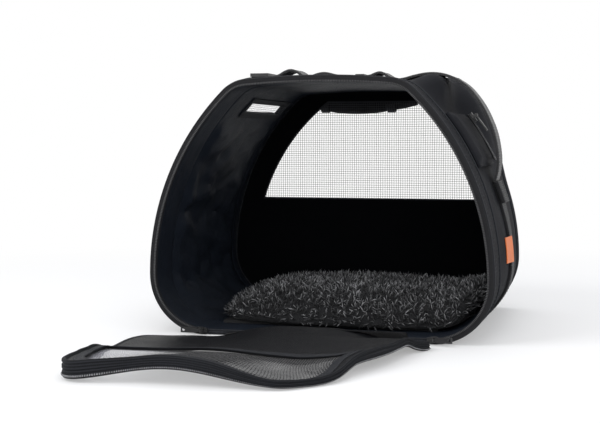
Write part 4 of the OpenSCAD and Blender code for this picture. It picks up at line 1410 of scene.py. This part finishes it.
class CARRIER_OT_door(Operator):
    """Door laid open on the floor: cloth, net window, edge, zip and hinge"""

    bl_idname = "carrier.door"
    bl_label = "Door"

    def execute(self, context):
        bm = start_mesh()
        wall_grid(bm, DOOR_INSET, 11.4, DOOR_WINDOW)
        area = sum(face.calc_area() for face in bm.faces) * 1e-6
        thicken(bm, 2.4)
        for vert in bm.verts:
            vert.co.z += 12.6
        panel = door_piece(bm, "door_cloth", "door_cloth_panel", "shell", ["door_lower_panel", "door_upper_frame"])
        bm = start_mesh()
        net_grid(bm, DOOR_WINDOW, 4.0, 72, 60, 11.8)
        # pale: 1 at the net's left, fading to 0 at its right; it paints highlight on the left and lets a painted shade
        # veil darken the right.
        pale = bm.verts.layers.float.new("pale")
        for vert in bm.verts:
            vert[pale] = 1 - ease((vert.co.x + 112) / 90)
        net = door_piece(bm, "door_net", "door_window_net", "mesh", ["door_mesh"])
        line = on_path(window_line(DOOR_WINDOW), True)
        bm = start_mesh()
        sweep(bm, flat_section(6, -2, 14.9, 16.0, 0.4, 0.7), line)
        tape = door_piece(bm, "window_tape", "door_window_binding", "binding", ["door_window_tape"])
        bm = beads(along_places(line, 4.8, 16.05, 3.8) + along_places(line, -0.6, 16.05, 3.8), (2.6, 0.5, 0.5))
        seams = door_piece(bm, "stitch_thread", "door_window_stitches", "binding")
        inner = [p for p in upper_rim(2)]
        edge = []
        for station in on_rim(inner):
            spot = station.place @ Vector((-DOOR_INSET, 0, 0))
            if spot.y > 14:
                edge.append(station)
        profile = [(-3.2, 11.6), (-3.4, 15.4), (-2.2, 17.0), (-0.6, 17.3), (0.9, 16.4), (1.1, 15.0), (0.1, 13.8), (0.2, 12.6), (1.0, 11.6),
                   (1.0, 9.0), (0.1, 8.2), (0.5, 7.2), (0.9, 5.6), (0.6, 3.9), (-0.2, 3.4), (-1.6, 4.0), (-1.8, 8.0), (-3.2, 11.6)]
        bm = start_mesh()
        sweep(bm, [(out - DOOR_INSET, up) for out, up in profile], edge, cap=True)
        strip = door_piece(bm, "door_binding", "door_edge_binding", "binding", ["door_lower_edge", "door_upper_edge"], flat_under=60)
        tape_profile = [(-0.8, 4.2), (0.3, 4.0), (0.7, 2.6), (0.3, 1.0), (-0.6, 0.6), (-1.2, 2.2), (-0.8, 4.2)]
        bm = start_mesh()
        sweep(bm, [(out - DOOR_INSET, up) for out, up in tape_profile], edge, cap=True)
        zip_band = door_piece(bm, "zip_tape", "door_zip_band", "zip_tape", ["door_lower_zip", "door_upper_zip"], flat_under=60)
        bm = beads(along_places(edge, 0.95 - DOOR_INSET, 3.2, sizes().tooth_pitch * 1000), (1.15, 1.7, 2.2))
        teeth = door_piece(bm, "zip_teeth", "door_zip_teeth", "zip_coil")
        self.hinge()
        return {"FINISHED"}

    def hinge(self):
        half = 100.0
        fold = smooth_path([(-149.6, 2.0), (-151.5, 4.0), (-154.5, 7.5), (-158.5, 11.0), (-163.0, 13.2), (-171.0, 14.4)], 2)
        bm = start_mesh()
        sweep(bm, flat_section(0.7, -0.7, -half, half, 0.4, 5.0), on_path(fold), cap=True)
        for vert in bm.verts:
            a, b, c = vert.co
            vert.co = Vector((c, a, 1.2 + (b - 1.2) * (1 - 0.8 * ease((-c - 30) / 90))))
        piece = lay(bm, "door_cloth", "door_hinge_flap", "shell", ["hinge_tape", "door_hinge_hem"], body=None)
        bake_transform(piece, "carrier", "door", start=(0, -0.1525, 0.008), end=(0, -0.165, 0.008))


class CARRIER_PT_panel(Panel):
    """Lists the carrier's pieces and what can be changed"""

    bl_idname = "CARRIER_PT_panel"
    bl_label = "Soft Pet Carrier"
    bl_space_type = "VIEW_3D"
    bl_region_type = "UI"
    bl_category = "Carrier"

    def draw(self, context):
        for operator in OPERATORS:
            self.layout.operator(operator.bl_idname)
        for group in (context.scene.carrier_sizes, context.scene.carrier_colours):
            for name in group.bl_rna.properties.keys():
                if name not in ("rna_type", "name"):
                    self.layout.prop(group, name)


OPERATORS = (
    CARRIER_OT_stage,
    CARRIER_OT_strap,
    CARRIER_OT_shell,
    CARRIER_OT_rims,
    CARRIER_OT_rear_wall,
    CARRIER_OT_vent,
    CARRIER_OT_pocket,
    CARRIER_OT_webbing,
    CARRIER_OT_pad,
    CARRIER_OT_door,
)
CLASSES = (CarrierSizes, CarrierColours, *OPERATORS, CARRIER_PT_panel)


def register():
    for cls in CLASSES:
        bpy.utils.register_class(cls)
    bpy.types.Scene.carrier_sizes = PointerProperty(type=CarrierSizes)
    bpy.types.Scene.carrier_colours = PointerProperty(type=CarrierColours)


def unregister():
    del bpy.types.Scene.carrier_colours
    del bpy.types.Scene.carrier_sizes
    for cls in reversed(CLASSES):
        bpy.utils.unregister_class(cls)


def main():
    register()
    bpy.ops.carrier.stage()
    bpy.ops.carrier.strap()
    bpy.ops.carrier.shell()
    bpy.ops.carrier.rims()
    bpy.ops.carrier.rear_wall()
    bpy.ops.carrier.vent()
    bpy.ops.carrier.pocket()
    bpy.ops.carrier.webbing()
    bpy.ops.carrier.pad()
    bpy.ops.carrier.door()


if __name__ == "__main__":
    main()
